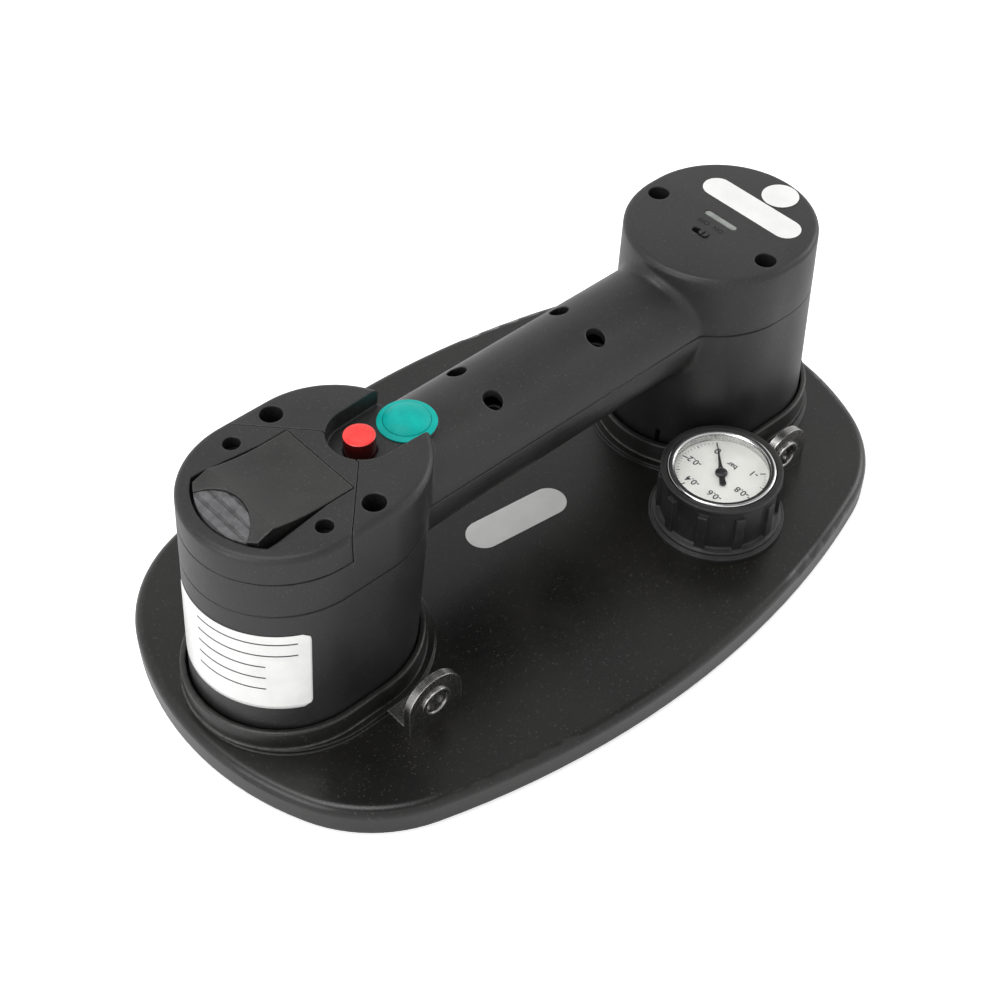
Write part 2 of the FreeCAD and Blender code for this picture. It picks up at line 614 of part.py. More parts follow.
def upper_housing():
    """One moulding: both tower tops and the upper half of the grip, with the recess for the buttons."""
    body = new_body("upper_housing")
    tower_loft(body, BATTERY, S.seam_height, S.tower_top)
    tower_loft(body, PUMP, S.seam_height, S.tower_top)
    grip_rod(body, S.grip_radius, -S.grip_end_x, S.grip_end_x + 10)
    below = new_sketch(body, "XY", S.seam_height)
    add_rectangle(below, -S.plate_length / 2, -S.plate_width / 2, S.plate_length / 2, S.plate_width / 2)
    extrude(body, below, S.seam_height, cut=True, back=True)
    round_edges(body, collar_edges, S.collar_round - 1.3)
    round_edges(body, level_edge(S.tower_top), S.top_edge_round)
    seat = new_sketch(body, "XY", S.grip_height)
    add_circle(seat, -S.power_x, 0, S.power_radius + 0.3)
    extrude(body, seat, S.recess_floor - S.grip_height)
    for side in (BATTERY, PUMP):
        tower_loft(body, side, S.seam_height, CAVITY_TOP, S.wall, cut=True)
    grip_rod(body, S.grip_radius - S.wall, -(S.grip_end_x - 2), S.grip_end_x + 4, cut=True)
    surround = recess_sketch(body, S.recess_floor - S.wall, S.wall * 0.7, -(S.battery_top_near - 28))
    extrude(body, surround, CAVITY_TOP - S.recess_floor + S.wall)
    web = new_sketch(body, "XY", S.cap_seam)
    side_y = S.battery_top_radius - 2.5
    add_polygon(web, [
        (chevron_at(side_y) + 3, side_y), (chevron_at(side_y), side_y),
        (chevron_at(S.chevron_y), S.chevron_y), (chevron_at(S.chevron_y), -S.chevron_y),
        (chevron_at(side_y), -side_y), (chevron_at(side_y) + 3, -side_y),
        (chevron_at(S.chevron_y) + 2.2, -S.chevron_y), (chevron_at(S.chevron_y) + 2.2, S.chevron_y)])
    extrude(body, web, CAVITY_TOP - S.cap_seam)
    drill(body, S.cap_seam, S.recess_floor - S.wall, [RELEASE_PORT], S.valve_radius + 0.1)
    screw_columns(body, S.seam_height, CAVITY_TOP, TOWER_SCREWS, S.tower_screw_hole + 1.2)
    screw_columns(body, S.seam_height, S.grip_height + 13, GRIP_SCREWS, S.grip_screw_hole + 1.2)
    extrude(body, recess_sketch(body, S.recess_floor), S.tower_top - S.recess_floor, cut=True)
    opening = new_sketch(body, "XY", S.cap_seam)
    reach = S.tower_foot_radius + 10
    add_polygon(opening, [
        (chevron_at(reach), -reach), (chevron_at(S.chevron_y), -S.chevron_y),
        (chevron_at(S.chevron_y), S.chevron_y), (chevron_at(reach), reach),
        (-S.plate_length / 2, reach), (-S.plate_length / 2, -reach)])
    extrude(body, opening, S.tower_top, cut=True)
    drill(body, S.screw_seat, S.tower_top, TOWER_SCREWS, S.tower_screw_hole)
    drill(body, S.screw_seat, S.tower_top, GRIP_SCREWS, S.grip_screw_hole)
    drill(body, S.seam_height, S.screw_seat, TOWER_SCREWS + GRIP_SCREWS, S.screw_shank + 0.3)
    drill(body, S.grip_height, S.recess_floor, [(-S.power_x, 0)], S.power_stem + S.fit_gap)
    drill(body, S.recess_floor - S.power_well, S.recess_floor, [(-S.power_x, 0)], S.power_dome_radius + 0.4)
    drill(body, S.recess_floor - S.wall, S.tower_top, [(-S.release_x, 0)], S.release_radius + S.fit_gap)
    window = new_sketch(body, "XY", CAVITY_TOP)
    add_slot(window, S.led_x, 0, S.led_length / 2, S.led_width / 2)
    extrude(body, window, S.wall, cut=True)
    slot = new_sketch(body, "XY", CAVITY_TOP)
    add_slot(slot, S.slide_x, 0, S.slide_length / 2, S.slide_width / 2)
    extrude(body, slot, S.wall, cut=True)
    return body


# ---------------------------------------------------------------- battery pack
LATCH_REACH = 27.5
PAD_CENTRE = 133.5
PAD_RADIUS = 16.3
LATCH_LOW = S.tower_top - S.latch_thick
LATCH_TOP = S.tower_top + S.latch_rise
LATCH_BACK = chevron_at(S.latch_half) - 1.6
PIN_HEIGHT = LATCH_LOW + 2.2
POCKET_FLOOR = CAP_BOTTOM + 1.5


def pack_outline(sketch, radius, gap):
    """The battery's plan: round at the tower's outer end, cut to the chevron at the grip's end."""
    axis = S.case_axis_x
    add_path(sketch, [
        (-axis, radius, radius, 1), (-(axis + radius), 0, radius, 1), (-axis, -radius),
        (chevron_at(radius, gap), -radius), (chevron_at(S.chevron_y, gap), -S.chevron_y),
        (chevron_at(S.chevron_y, gap), S.chevron_y), (chevron_at(radius, gap), radius)])


def side_cut(body, points, half, cut=True):
    """Pads or cuts a side-view outline (x, height) from -half to +half across the part."""
    sketch = new_sketch(body, "XZ", -dim(half))
    add_polygon(sketch, points)
    return extrude(body, sketch, dim(half) * 2, cut=cut)


def battery_cap():
    """The pack's lid, flush with the tower: chevron seam, bite of the finger recess, latch pocket."""
    body = new_body("battery_cap")
    tower_loft(body, BATTERY, CAP_BOTTOM, S.tower_top)
    cut_beyond_chevron(body, CAP_BOTTOM, S.tower_top, S.fit_gap)
    top_edge = level_edge(S.tower_top)
    rim_y = S.battery_top_radius.value - 1
    round_edges(body, lambda edge: top_edge(edge) and (
        edge.BoundBox.YLength > rim_y or abs(edge.CenterOfMass.y) > rim_y), S.top_edge_round)
    extrude(body, recess_sketch(body, S.recess_floor), S.tower_top - S.recess_floor, cut=True)
    notch = new_sketch(body, "XY", POCKET_FLOOR)
    half = S.latch_half + 0.5
    wide = S.latch_half + S.latch_notch_flare
    reach = LATCH_REACH + 1
    corner = S.battery_top_far + LATCH_REACH - 7.1
    add_path(notch, [
        (-S.latch_crease_x, half), (-(S.latch_crease_x + 22), wide), (-corner, wide, reach, 1),
        (-(S.battery_top_far + reach), 0, reach, 1), (-corner, -wide),
        (-(S.latch_crease_x + 22), -wide), (-S.latch_crease_x, -half), (LATCH_BACK + 0.3, -half),
        (LATCH_BACK + 0.3, half)])
    extrude(body, notch, S.tower_top - POCKET_FLOOR, cut=True)
    drill(body, CAP_BOTTOM, S.tower_top, CAP_SCREWS, S.screw_shank + 0.3)
    drill(body, CAP_BOTTOM + 4, S.tower_top, CAP_SCREWS, S.cap_screw_hole)
    bore = new_sketch(body, "XZ", -(half + 1.6))
    add_circle(bore, -S.latch_crease_x, PIN_HEIGHT, S.latch_pin_radius + 0.05)
    extrude(body, bore, (half + 1.6) * 2, cut=True)
    return body


def battery_case():
    """The pack's can: thin wall, rim that carries the lid, bosses for the lid's screws."""
    body = new_body("battery_case")
    shell = new_sketch(body, "XY", S.case_bottom)
    pack_outline(shell, S.case_radius, S.case_back_inset)
    extrude(body, shell, CAP_BOTTOM - S.case_bottom)
    rim = new_sketch(body, "XY", CAP_BOTTOM - 2)
    pack_outline(rim, S.case_radius + 2.3, 0.6)
    extrude(body, rim, 2)
    inside = new_sketch(body, "XY", S.case_bottom + S.case_wall)
    pack_outline(inside, S.case_radius - S.case_wall, S.case_back_inset + S.case_wall * 1.36)
    extrude(body, inside, CAP_BOTTOM - S.case_bottom - S.case_wall, cut=True)
    screw_columns(body, CAP_BOTTOM - 12, CAP_BOTTOM, CAP_SCREWS, 3.2)
    drill(body, CAP_BOTTOM - 12, CAP_BOTTOM, CAP_SCREWS, S.screw_pilot)
    windows = new_sketch(body, "XY", S.case_bottom)
    for y in (-12, 12):
        add_rectangle(windows, -S.case_axis_x - 4, dim(y) - 2.5, -S.case_axis_x + 4, dim(y) + 2.5)
    extrude(body, windows, S.case_wall, cut=True)
    return body


def battery_cells():
    """Four round lithium cells standing in the can."""
    body = new_body("battery_cells")
    places = [(x, y) for x in (-95.2, -114.1) for y in (-9.35, 9.35)]
    floor = S.case_bottom + S.case_wall
    screw_columns(body, floor, floor + S.cell_length, places, S.cell_radius)
    return body


def contact_pads(name, low, high, half_x, half_y):
    body = new_body(name)
    sketch = new_sketch(body, "XY", low)
    for y in (-12, 12):
        add_rectangle(sketch, -S.case_axis_x - half_x, dim(y) - half_y,
                      -S.case_axis_x + half_x, dim(y) + half_y)
    extrude(body, sketch, dim(high) - low)
    return body


def battery_contacts():
    """The pack's two plated pads, flush in the can's floor."""
    return contact_pads("battery_contacts", S.case_bottom, S.case_bottom + S.case_wall, 4, 2.5)


def terminal_fingers():
    """The two springy strips the pads come down on."""
    return contact_pads("terminal_fingers", S.case_bottom - 0.6, S.case_bottom - S.fit_gap, 3.2, 1.6)


def terminal_block():
    """The bridge across the tower's foot that carries the contact strips."""
    body = new_body("terminal_block")
    low = FOOT + S.foot_flange
    sketch = new_sketch(body, "XY", low)
    add_rectangle(sketch, -S.case_axis_x - 8, -22, -S.case_axis_x + 8, 22)
    extrude(body, sketch, S.case_bottom - 0.6 - low)
    return body


def battery_latch():
    """The thumb lever let into the lid: flush at its hinge, hollowed ramp up to a ridge, then the pad."""
    body = new_body("battery_latch")
    side = new_sketch(body, "XZ", -S.latch_half)
    add_path(side, [
        (LATCH_BACK, LATCH_LOW), (LATCH_BACK, S.tower_top), (-S.latch_crease_x, S.tower_top, 70, -1),
        (-S.latch_ridge_x, LATCH_TOP), (-S.latch_end_x, S.tower_top - S.latch_end_drop),
        (-S.latch_end_x, LATCH_LOW)])
    extrude(body, side, S.latch_half * 2)
    trim = new_sketch(body, "XY", LATCH_LOW)
    add_circle(trim, -S.battery_top_far, 0, LATCH_REACH)
    add_circle(trim, -S.battery_top_far, 0, LATCH_REACH + 30)
    extrude(body, trim, LATCH_TOP - LATCH_LOW, cut=True)
    seat = new_sketch(body, "XY", LATCH_LOW + 2.5)
    add_circle(seat, -PAD_CENTRE, 0, PAD_RADIUS)
    extrude(body, seat, 10, cut=True)
    side_cut(body, [(-112, LATCH_LOW), (-101, LATCH_LOW), (-101, LATCH_LOW + 2.8),
                    (-112, LATCH_LOW + 3.4)], 14.5)
    bore = new_sketch(body, "XZ", -S.latch_half)
    add_circle(bore, -S.latch_crease_x, PIN_HEIGHT, S.latch_pin_radius + 0.08)
    extrude(body, bore, S.latch_half * 2, cut=True)
    return body


def latch_pad():
    """The soft half-moon insert under the thumb, sloping away from the ridge."""
    body = new_body("latch_pad")
    low = LATCH_LOW + 2.5
    disc = new_sketch(body, "XY", low)
    add_circle(disc, -PAD_CENTRE, 0, PAD_RADIUS)
    extrude(body, disc, 6)
    trim = new_sketch(body, "XY", low)
    add_circle(trim, -S.battery_top_far, 0, LATCH_REACH)
    add_circle(trim, -S.battery_top_far, 0, LATCH_REACH + 30)
    extrude(body, trim, 6, cut=True)
    top = LATCH_TOP - 0.3
    end = S.tower_top - S.latch_end_drop - 0.3
    side_cut(body, [(-S.latch_ridge_x + 2, top), (-S.latch_end_x - 1, end), (-S.latch_end_x - 1, end + 12),
                    (-S.latch_ridge_x + 2, end + 12)], 20)
    return body


def latch_pin():
    """The steel pin the lever turns on."""
    body = new_body("latch_pin")
    half = S.latch_half + 2
    sketch = new_sketch(body, "XZ", -half)
    add_circle(sketch, -S.latch_crease_x, PIN_HEIGHT, S.latch_pin_radius)
    extrude(body, sketch, half * 2)
    return body


def coil(name, x, y, low, high, radius, wire, turns):
    """A round-wire compression spring standing on the low plane."""
    body = new_body(name, x, y)
    sketch = new_sketch(body, "XZ")
    low, high, radius, wire = dim(low), dim(high), dim(radius), dim(wire)
    add_circle(sketch, radius, low + wire, wire)
    feature = body.newObject("PartDesign::AdditiveHelix", "winding")
    feature.Profile = sketch
    feature.ReferenceAxis = (sketch, ["V_Axis"])
    feature.Mode = "height-turns-angle"
    rise = high - low - wire * 2
    feature.Height = rise.value
    feature.Turns = turns
    bind(feature, "Height", rise)
    finish_feature(body, feature, True)
    return body


def latch_spring():
    place = -(S.battery_top_far + LATCH_REACH - 10)
    return coil("latch_spring", place, 0, POCKET_FLOOR + 0.05, LATCH_LOW - 0.1, 3.4, 0.4, 3)


def screws(name, places, seat, tip, head, drop=False):
    """Screws standing in a row of places: shank from the seat to the tip, head on the seat (below it
    with drop)."""
    body = new_body(name)
    seat, tip = dim(seat), dim(tip)
    low, high = (seat, tip) if drop else (tip, seat)
    screw_columns(body, low, high, places, S.screw_shank)
    thick = dim(S.screw_head_thick)
    base = seat - thick if drop else seat
    screw_columns(body, base, base + thick, places, head)
    return body


def cap_screws():
    return screws("cap_screws", CAP_SCREWS, CAP_BOTTOM + 4, CAP_BOTTOM - 11, S.screw_head - 0.1)


def grip_screws():
    return screws("grip_screws", GRIP_SCREWS, S.screw_seat, S.seam_height - 13.5, S.screw_head)


def tower_screws():
    return screws("tower_screws", TOWER_SCREWS, S.screw_seat, S.seam_height - 13.5, S.screw_head)


def base_screws():
    return screws("base_screws", BASE_SCREWS, CEILING, FOOT + S.foot_flange - 0.3, 2.6, drop=True)


def bracket_screws():
    seat = S.plate_top + S.lug_thick
    return screws("bracket_screws", LUG_SCREWS, seat, S.plate_top - S.plate_skin - 1.6, 2.4)


# ---------------------------------------------------------------- controls
def power_button():
    """The domed rubber cap over the pump's switch, with the stem that works it."""
    body = new_body("power_button", -S.power_x, 0)
    low = S.recess_floor + 0.1
    high = S.recess_floor + S.power_dome
    sketch = new_sketch(body, "XZ")
    skirt = low + 1.2
    crown = S.power_dome_radius * 0.35
    add_path(sketch, [
        (0, low - 6), (S.power_stem, low - 6), (S.power_stem, low), (S.power_dome_radius, low),
        (S.power_dome_radius, skirt, 11, 1), (crown, high), (0, high)])
    spin(body, sketch)
    return body


def button_bezel():
    """The flat ring round the dome."""
    low = S.recess_floor
    outline = tube_outline(S.power_dome_radius + S.fit_gap, S.power_radius, low, low + S.power_flange)
    return turned("button_bezel", outline, -S.power_x, 0)


def control_board():
    """The circuit board in the grip, wide enough to lie against the bore's sides."""
    body = new_body("control_board")
    sketch = new_sketch(body, "XY", S.recess_floor - 12.3)
    add_rectangle(sketch, -61, -14.9, -28, 14.9)
    extrude(body, sketch, 1.6)
    return body


def power_switch():
    """The push switch under the dome's stem."""
    body = new_body("power_switch", -S.power_x, 0)
    low = S.recess_floor - 10.7
    sketch = new_sketch(body, "XY", low)
    add_rectangle(sketch, -3, -3, 3, 3)
    extrude(body, sketch, 2.7)
    top = new_sketch(body, "XY", low + 2.7)
    add_circle(top, 0, 0, 1.7)
    extrude(body, top, 0.7)
    return body


def release_button():
    """The vent plunger: finger pad, retaining flange, stem."""
    top = S.release_top
    flange = S.recess_floor - S.wall - S.fit_gap
    head, stem = S.release_radius, dim(2.4)
    edge = dim(0.8)
    return turned("release_button", [
        (0, flange - 23), (stem, flange - 23), (stem, flange - 2), (head + 1, flange - 2),
        (head + 1, flange), (head, flange), (head, top - edge), (head - edge, top),
        (0, top)], -S.release_x, 0)


def release_valve_body():
    """The turned valve under the vent plunger: spring well, guide, valve chamber, hose nipple."""
    top = S.recess_floor - S.wall
    low = S.valve_bottom
    outer, well, guide, chamber = S.valve_radius, S.release_radius + 1.3, dim(2.8), dim(5.2)
    return turned("release_valve_body", [
        (PORT_BORE, low - 9), (NIPPLE, low - 9), (NIPPLE, low), (outer, low), (outer, top), (well, top),
        (well, low + 16), (guide, low + 16), (guide, low + 12), (chamber, low + 12), (chamber, low + 2),
        (PORT_BORE, low + 2)], -S.release_x, 0)


def release_plug():
    """The rubber plug that closes the chamber, held on the plunger's stem."""
    top = S.valve_bottom + 11.7
    return turned("release_plug", [(0, top - 4), (4.4, top - 4), (4.8, top - 1), (3.4, top), (2.4, top),
                                   (2.4, S.recess_floor - S.wall - S.fit_gap - 23),
                                   (0, S.recess_floor - S.wall - S.fit_gap - 23)], -S.release_x, 0)


def release_spring():
    return coil("release_spring", -S.release_x, 0, S.valve_bottom + 16.05,
                S.recess_floor - S.wall - S.fit_gap - 2.1, 4.6, 0.5, 5)


def hose(name, place, high):
    return turned(name, tube_outline(S.hose_bore, S.hose_radius, FOOT + 0.6, high), *place)


def release_hose():
    return hose("release_hose", RELEASE_PORT, S.valve_bottom - 0.3)


def suction_hose():
    return hose("suction_hose", SUCTION_PORT, S.crank_bottom - 0.3)


def led_window():
    """The clear strip lens in the pump tower's top."""
    body = new_body("led_window", S.led_x, 0)
    flange = new_sketch(body, "XY", CAVITY_TOP - 1.4)
    half_x, half_y = S.led_width / 2, S.led_length / 2
    add_rectangle(flange, -half_x - 1.2, -half_y - 1.2, half_x + 1.2, half_y + 1.2)
    extrude(body, flange, 1.4)
    lens = new_sketch(body, "XY", CAVITY_TOP)
    add_slot(lens, 0, 0, half_y - 0.15, half_x - 0.15)
    extrude(body, lens, S.wall - 0.2)
    return body


def led_emitter():
    """The strip of lamps on its small board."""
    body = new_body("led_emitter", S.led_x, 0)
    sketch = new_sketch(body, "XY", CAVITY_TOP - 3)
    add_rectangle(sketch, -2.2, -9, 2.2, 9)
    extrude(body, sketch, 1)
    chips = new_sketch(body, "XY", CAVITY_TOP - 2)
    for y in (-5, 0, 5):
        add_rectangle(chips, -1, dim(y) - 1.2, 1, dim(y) + 1.2)
    extrude(body, chips, 0.5)
    return body


def slide_switch_body():
    """The slide switch's case under the lid."""
    body = new_body("slide_switch_body", S.slide_x, 0)
    sketch = new_sketch(body, "XY", CAVITY_TOP - 6)
    add_rectangle(sketch, -4, -6, 4, 6)
    extrude(body, sketch, 5.7)
    return body


def slide_switch_knob():
    """The slide switch's finger, at the near end of its slot."""
    body = new_body("slide_switch_knob", S.slide_x, -S.slide_travel / 2)
    half_x = S.slide_width / 2 - S.fit_gap
    half_y = (S.slide_length - S.slide_travel) / 2 - S.fit_gap
    sketch = new_sketch(body, "XY", CAVITY_TOP - 0.1)
    add_slot(sketch, 0, 0, half_y, half_x)
    extrude(body, sketch, 3.6)
    ridge = new_sketch(body, "XY", CAVITY_TOP + 2.9)
    add_rectangle(ridge, -half_x, -0.4, half_x, 0.4)
    extrude(body, ridge, 0.6, cut=True)
    return body


# ---------------------------------------------------------------- pump
def pump_motor():
    """The upright direct-current motor: can, end boss and the two tags."""
    body = new_body("pump_motor", S.motor_x, S.motor_y)
    low = S.motor_bottom
    top = S.motor_bottom + S.motor_length
    can = new_sketch(body, "XY", low)
    add_circle(can, 0, 0, S.motor_radius)
    extrude(body, can, S.motor_length - 1)
    round_edges(body, level_edge(top - 1), 1.5)
    boss = new_sketch(body, "XY", top - 1)
    add_circle(boss, 0, 0, 4)
    extrude(body, boss, 1)
    bore = new_sketch(body, "XY", low)
    add_circle(bore, 0, 0, S.shaft_radius + 0.1)
    extrude(body, bore, 10, cut=True)
    tags = new_sketch(body, "XY", top - 4)
    add_rectangle(tags, S.motor_radius - 0.5, -5, S.motor_radius + 1.4, -2.5)
    add_rectangle(tags, S.motor_radius - 0.5, 2.5, S.motor_radius + 1.4, 5)
    extrude(body, tags, 0.8)
    return body


def pump_eccentric():
    """The motor's shaft with the off-centre cam that works the diaphragm."""
    body = new_body("pump_eccentric", S.motor_x, S.motor_y)
    middle = S.motor_bottom - 12.5
    shaft = new_sketch(body, "XY", middle - 6)
    add_circle(shaft, 0, 0, S.shaft_radius)
    extrude(body, shaft, 27)
    cam = new_sketch(body, "XY", middle - 5)
    add_circle(cam, 0, -S.cam_throw, S.cam_radius)
    extrude(body, cam, 10)
    return body


def pump_crankcase():
    """The casting under the motor: round well, square face for the pump's head, window for the rod."""
    body = new_body("pump_crankcase", S.motor_x, S.motor_y)
    low, high = S.crank_bottom, S.motor_bottom
    well = new_sketch(body, "XY", low)
    add_circle(well, 0, 0, S.crank_radius)
    extrude(body, well, high - low)
    face = new_sketch(body, "XY", low)
    add_rectangle(face, -11.5, -S.motor_y - 6, 11.5, 0)
    extrude(body, face, high - low)
    hollow = new_sketch(body, "XY", low + 2.5)
    add_circle(hollow, 0, 0, S.crank_radius - 2)
    extrude(body, hollow, high - low - 2.5, cut=True)
    window = new_sketch(body, "XZ", 0)
    add_rectangle(window, -5, low + 8.5, 5, high - 8.5)
    extrude(body, window, S.motor_y + 6, cut=True)
    return body


def connecting_rod():
    """The ring round the cam and the arm to the diaphragm."""
    body = new_body("connecting_rod", S.motor_x, S.motor_y)
    middle = S.motor_bottom - 12.5
    ring = new_sketch(body, "XY", middle - 3)
    add_circle(ring, 0, 0, S.rod_ring)
    extrude(body, ring, 6)
    arm = new_sketch(body, "XY", middle - 2)
    add_rectangle(arm, -2.5, -S.motor_y - 6, 2.5, -5)
    extrude(body, arm, 4)
    bore = new_sketch(body, "XY", middle - 3)
    add_circle(bore, 0, 0, S.cam_radius + S.cam_throw + 0.35)
    extrude(body, bore, 6, cut=True)
    return body


def diaphragm():
    """The rubber disc between crankcase and head."""
    body = new_body("diaphragm", S.motor_x, 0, S.motor_bottom - 12.5)
    sketch = new_sketch(body, "XZ", 6)
    add_circle(sketch, 0, 0, S.diaphragm_radius)
    extrude(body, sketch, 1.2)
    return body


def pump_head():
    """The valve head bolted over the diaphragm, with its inlet nipple below."""
    body = new_body("pump_head", S.motor_x, 0)
    block = new_sketch(body, "XY", S.crank_bottom)
    add_rectangle(block, -11.5, -(S.head_depth + 6), 11.5, -7.2)
    extrude(body, block, S.motor_bottom - S.crank_bottom)
    screw_columns(body, NIPPLE_TOP + 0.3, S.crank_bottom, [(0, SUCTION_PORT[1])], NIPPLE)
    drill(body, NIPPLE_TOP + 0.3, S.crank_bottom + 6, [(0, SUCTION_PORT[1])], PORT_BORE)
    return body


def pump_bracket():
    """The pressed plate across the tower's foot that carries the pump."""
    body = new_body("pump_bracket")
    low = FOOT + S.foot_flange
    sketch = new_sketch(body, "XY", low)
    add_stadium(sketch, S.tower_foot_near, S.tower_foot_far, 22)
    add_circle(sketch, *SUCTION_PORT, S.hose_radius + 0.6)
    extrude(body, sketch, 1.6)
    return body


def motor_mounts():
    """The rubber feet between plate and pump."""
    body = new_body("motor_mounts", S.motor_x, S.motor_y)
    low = FOOT + S.foot_flange + 1.6
    foot = new_sketch(body, "XY", low)
    add_circle(foot, 0, 9, 3.6)
    first_foot = extrude(body, foot, S.crank_bottom - low)
    repeat_round(body, [first_foot], 3)
    return body


# ---------------------------------------------------------------- gauge
def gauge_boot():
    """The ribbed rubber boot round the gauge, with its two-step foot."""
    body = new_body("gauge_boot", S.gauge_x, -S.gauge_y)
    low = S.plate_top
    lip = S.gauge_face - 0.6
    sketch = new_sketch(body, "XZ")
    add_polygon(sketch, [
        (S.gauge_radius - 0.7, low), (S.boot_foot_radius, low), (S.boot_foot_radius, low + 1.8),
        (S.boot_foot_radius - 1.4, low + 1.8), (S.boot_foot_radius - 1.4, low + 3.4),
        (S.boot_body_radius, low + 4), (S.boot_body_radius, lip - 2), (S.boot_lip_radius, lip - 1.6),
        (S.boot_lip_radius, lip), (S.gauge_radius + 0.3, lip), (S.gauge_radius + 0.3, lip - 2.2),
        (S.gauge_radius - 0.7, lip - 2.2)])
    spin(body, sketch)
    flat = new_sketch(body, "XY", low)
    clear_x = S.lug_x_pump - S.lug_radius - S.fit_gap - S.gauge_x
    add_rectangle(flat, clear_x, -20, clear_x + 10, 20)
    extrude(body, flat, 3.4, cut=True)
    beside = new_sketch(body, "XY", low)
    add_stadium(beside, S.bead_near_x - S.gauge_x, S.bead_far_x - S.gauge_x,
                S.bead_radius + S.fit_gap, S.gauge_y)
    extrude(body, beside, 3.4, cut=True)
    rib = new_sketch(body, "XY", low + 3.4)
    angle = math.radians(RIB_START)
    ux, uy = math.cos(angle), math.sin(angle)
    near, far = S.boot_body_radius - 1, S.boot_body_radius + S.boot_rib_rise
    half = S.boot_rib_width / 2
    add_polygon(rib, [
        (near * ux + half * uy, near * uy - half * ux), (far * ux + half * uy, far * uy - half * ux),
        (far * ux - half * uy, far * uy + half * ux), (near * ux - half * uy, near * uy + half * ux)])
    first_rib = extrude(body, rib, lip - low - 8)
    repeat_round(body, [first_rib], S.boot_rib_count)
    return body


def gauge_case():
    """The gauge's pressed can."""
    outer = S.gauge_radius - 1
    low, high = S.plate_top + 1.6, S.gauge_face - 1.6
    return turned("gauge_case", [
        (4, low), (outer, low), (outer, high), (outer - 1.2, high), (outer - 1.2, low + 1.2),
        (4, low + 1.2)], S.gauge_x, -S.gauge_y)


def gauge_bezel():
    """The rolled bright ring that holds the glass."""
    low = S.gauge_face - 1.6
    outer, inner = S.gauge_radius, S.gauge_radius - 2.6
    return turned("gauge_bezel", [
        (inner + 0.8, low), (outer, low), (outer, low + 1), (outer - 0.6, low + 1.6), (inner, low + 1.6),
        (inner, low + 1), (inner + 0.8, low + 1)], S.gauge_x, -S.gauge_y)


def gauge_glass():
    low = S.gauge_face - 1.6
    return turned("gauge_glass", tube_outline(0, S.gauge_radius - 2, low, low + 0.9), S.gauge_x, -S.gauge_y)


def gauge_dial():
    """The dial plate on its ledge, open at the middle for the pointer's staff."""
    low = S.gauge_face - 4.8
    plate = tube_outline(1.2, S.gauge_radius - 2.25, low, low + 0.5)
    return turned("gauge_dial", plate, S.gauge_x, -S.gauge_y)


def gauge_pointer():
    """The pointer on its staff, resting at the dial's zero."""
    body = new_body("gauge_pointer", S.gauge_x, -S.gauge_y, turn=((0, 0, 1), 48.5))
    low = S.gauge_face - 3.7
    hand = new_sketch(body, "XY", low)
    add_polygon(hand, [(-5.5, -1), (0, -0.9), (14, -0.2), (14, 0.2), (0, 0.9), (-5.5, 1)])
    extrude(body, hand, 0.4)
    hub = new_sketch(body, "XY", low)
    add_circle(hub, 0, 0, 2.3)
    extrude(body, hub, 0.9)
    staff = new_sketch(body, "XY", low - 9)
    add_circle(staff, 0, 0, 0.7)
    extrude(body, staff, 9)
    return body


def bourdon_tube():
    """The curved pressure tube, its socket block and the post that the staff turns in."""
    body = new_body("bourdon_tube", S.gauge_x, -S.gauge_y)
    low = S.plate_top + 2.8
    block = new_sketch(body, "XY", low)
    add_rectangle(block, -4.5, -14, 4.5, 4.5)
    extrude(body, block, 5)
    bearing = new_sketch(body, "XY", low + 5)
    add_circle(bearing, 0, 0, 4)
    extrude(body, bearing, 5)
    post = new_sketch(body, "XY", low + 5)
    add_rectangle(post, -4.5, -14, 4.5, -8)
    extrude(body, post, 4)
    tube = new_sketch(body, "XY", low + 9)
    add_circle(tube, 0, 0, 13)
    add_circle(tube, 0, 0, 10)
    extrude(body, tube, 1.8)
    gap = new_sketch(body, "XY", low + 9)
    add_rectangle(gap, -15, -7.8, -4.6, 7)
    extrude(body, gap, 1.8, cut=True)
    bore = new_sketch(body, "XY", low)
    add_circle(bore, 0, 0, 0.8)
    extrude(body, bore, 10, cut=True)
    return body


def gauge_stem():
    """The threaded stem through the plate, with its seat inside the case."""
    low = CEILING - S.rib_drop
    return turned("gauge_stem", [
        (1.2, low), (GAUGE_THREAD - 0.1, low), (GAUGE_THREAD - 0.1, S.plate_top), (7, S.plate_top),
        (7, S.plate_top + 1.6), (3.9, S.plate_top + 1.6), (3.9, S.plate_top + 2.8),
        (1.2, S.plate_top + 2.8)], S.gauge_x, -S.gauge_y)


# ---------------------------------------------------------------- eyelets
def eyelet_bracket(name, x):
    """A bent steel lug: upright eye, foot screwed to the plate."""
    body = new_body(name, x, -S.lug_y)
    half = S.lug_thick / 2
    rise = S.lug_hole_height
    wide = S.lug_radius
    eye = new_sketch(body, "XZ", -half)
    add_path(eye, [(wide, S.plate_top), (wide, rise, wide, 1), (0, rise + wide, wide, 1),
                   (-wide, rise), (-wide, S.plate_top)])
    extrude(body, eye, S.lug_thick)
    foot = new_sketch(body, "XY", S.plate_top)
    add_rectangle(foot, -wide, -half, wide, S.lug_foot - half)
    extrude(body, foot, S.lug_thick)
    hole = new_sketch(body, "XZ", -half)
    add_circle(hole, 0, rise, S.lug_eye + 0.8)
    extrude(body, hole, S.lug_thick, cut=True)
    drill(body, S.plate_top, S.plate_top + S.lug_thick,
          [(-LUG_SCREW_PITCH, S.lug_foot / 2), (LUG_SCREW_PITCH, S.lug_foot / 2)], S.screw_shank + 0.25)
    return body


def eyelet_bracket_left():
    return eyelet_bracket("eyelet_bracket_left", -S.lug_x_battery)


def eyelet_bracket_right():
    return eyelet_bracket("eyelet_bracket_right", S.lug_x_pump)


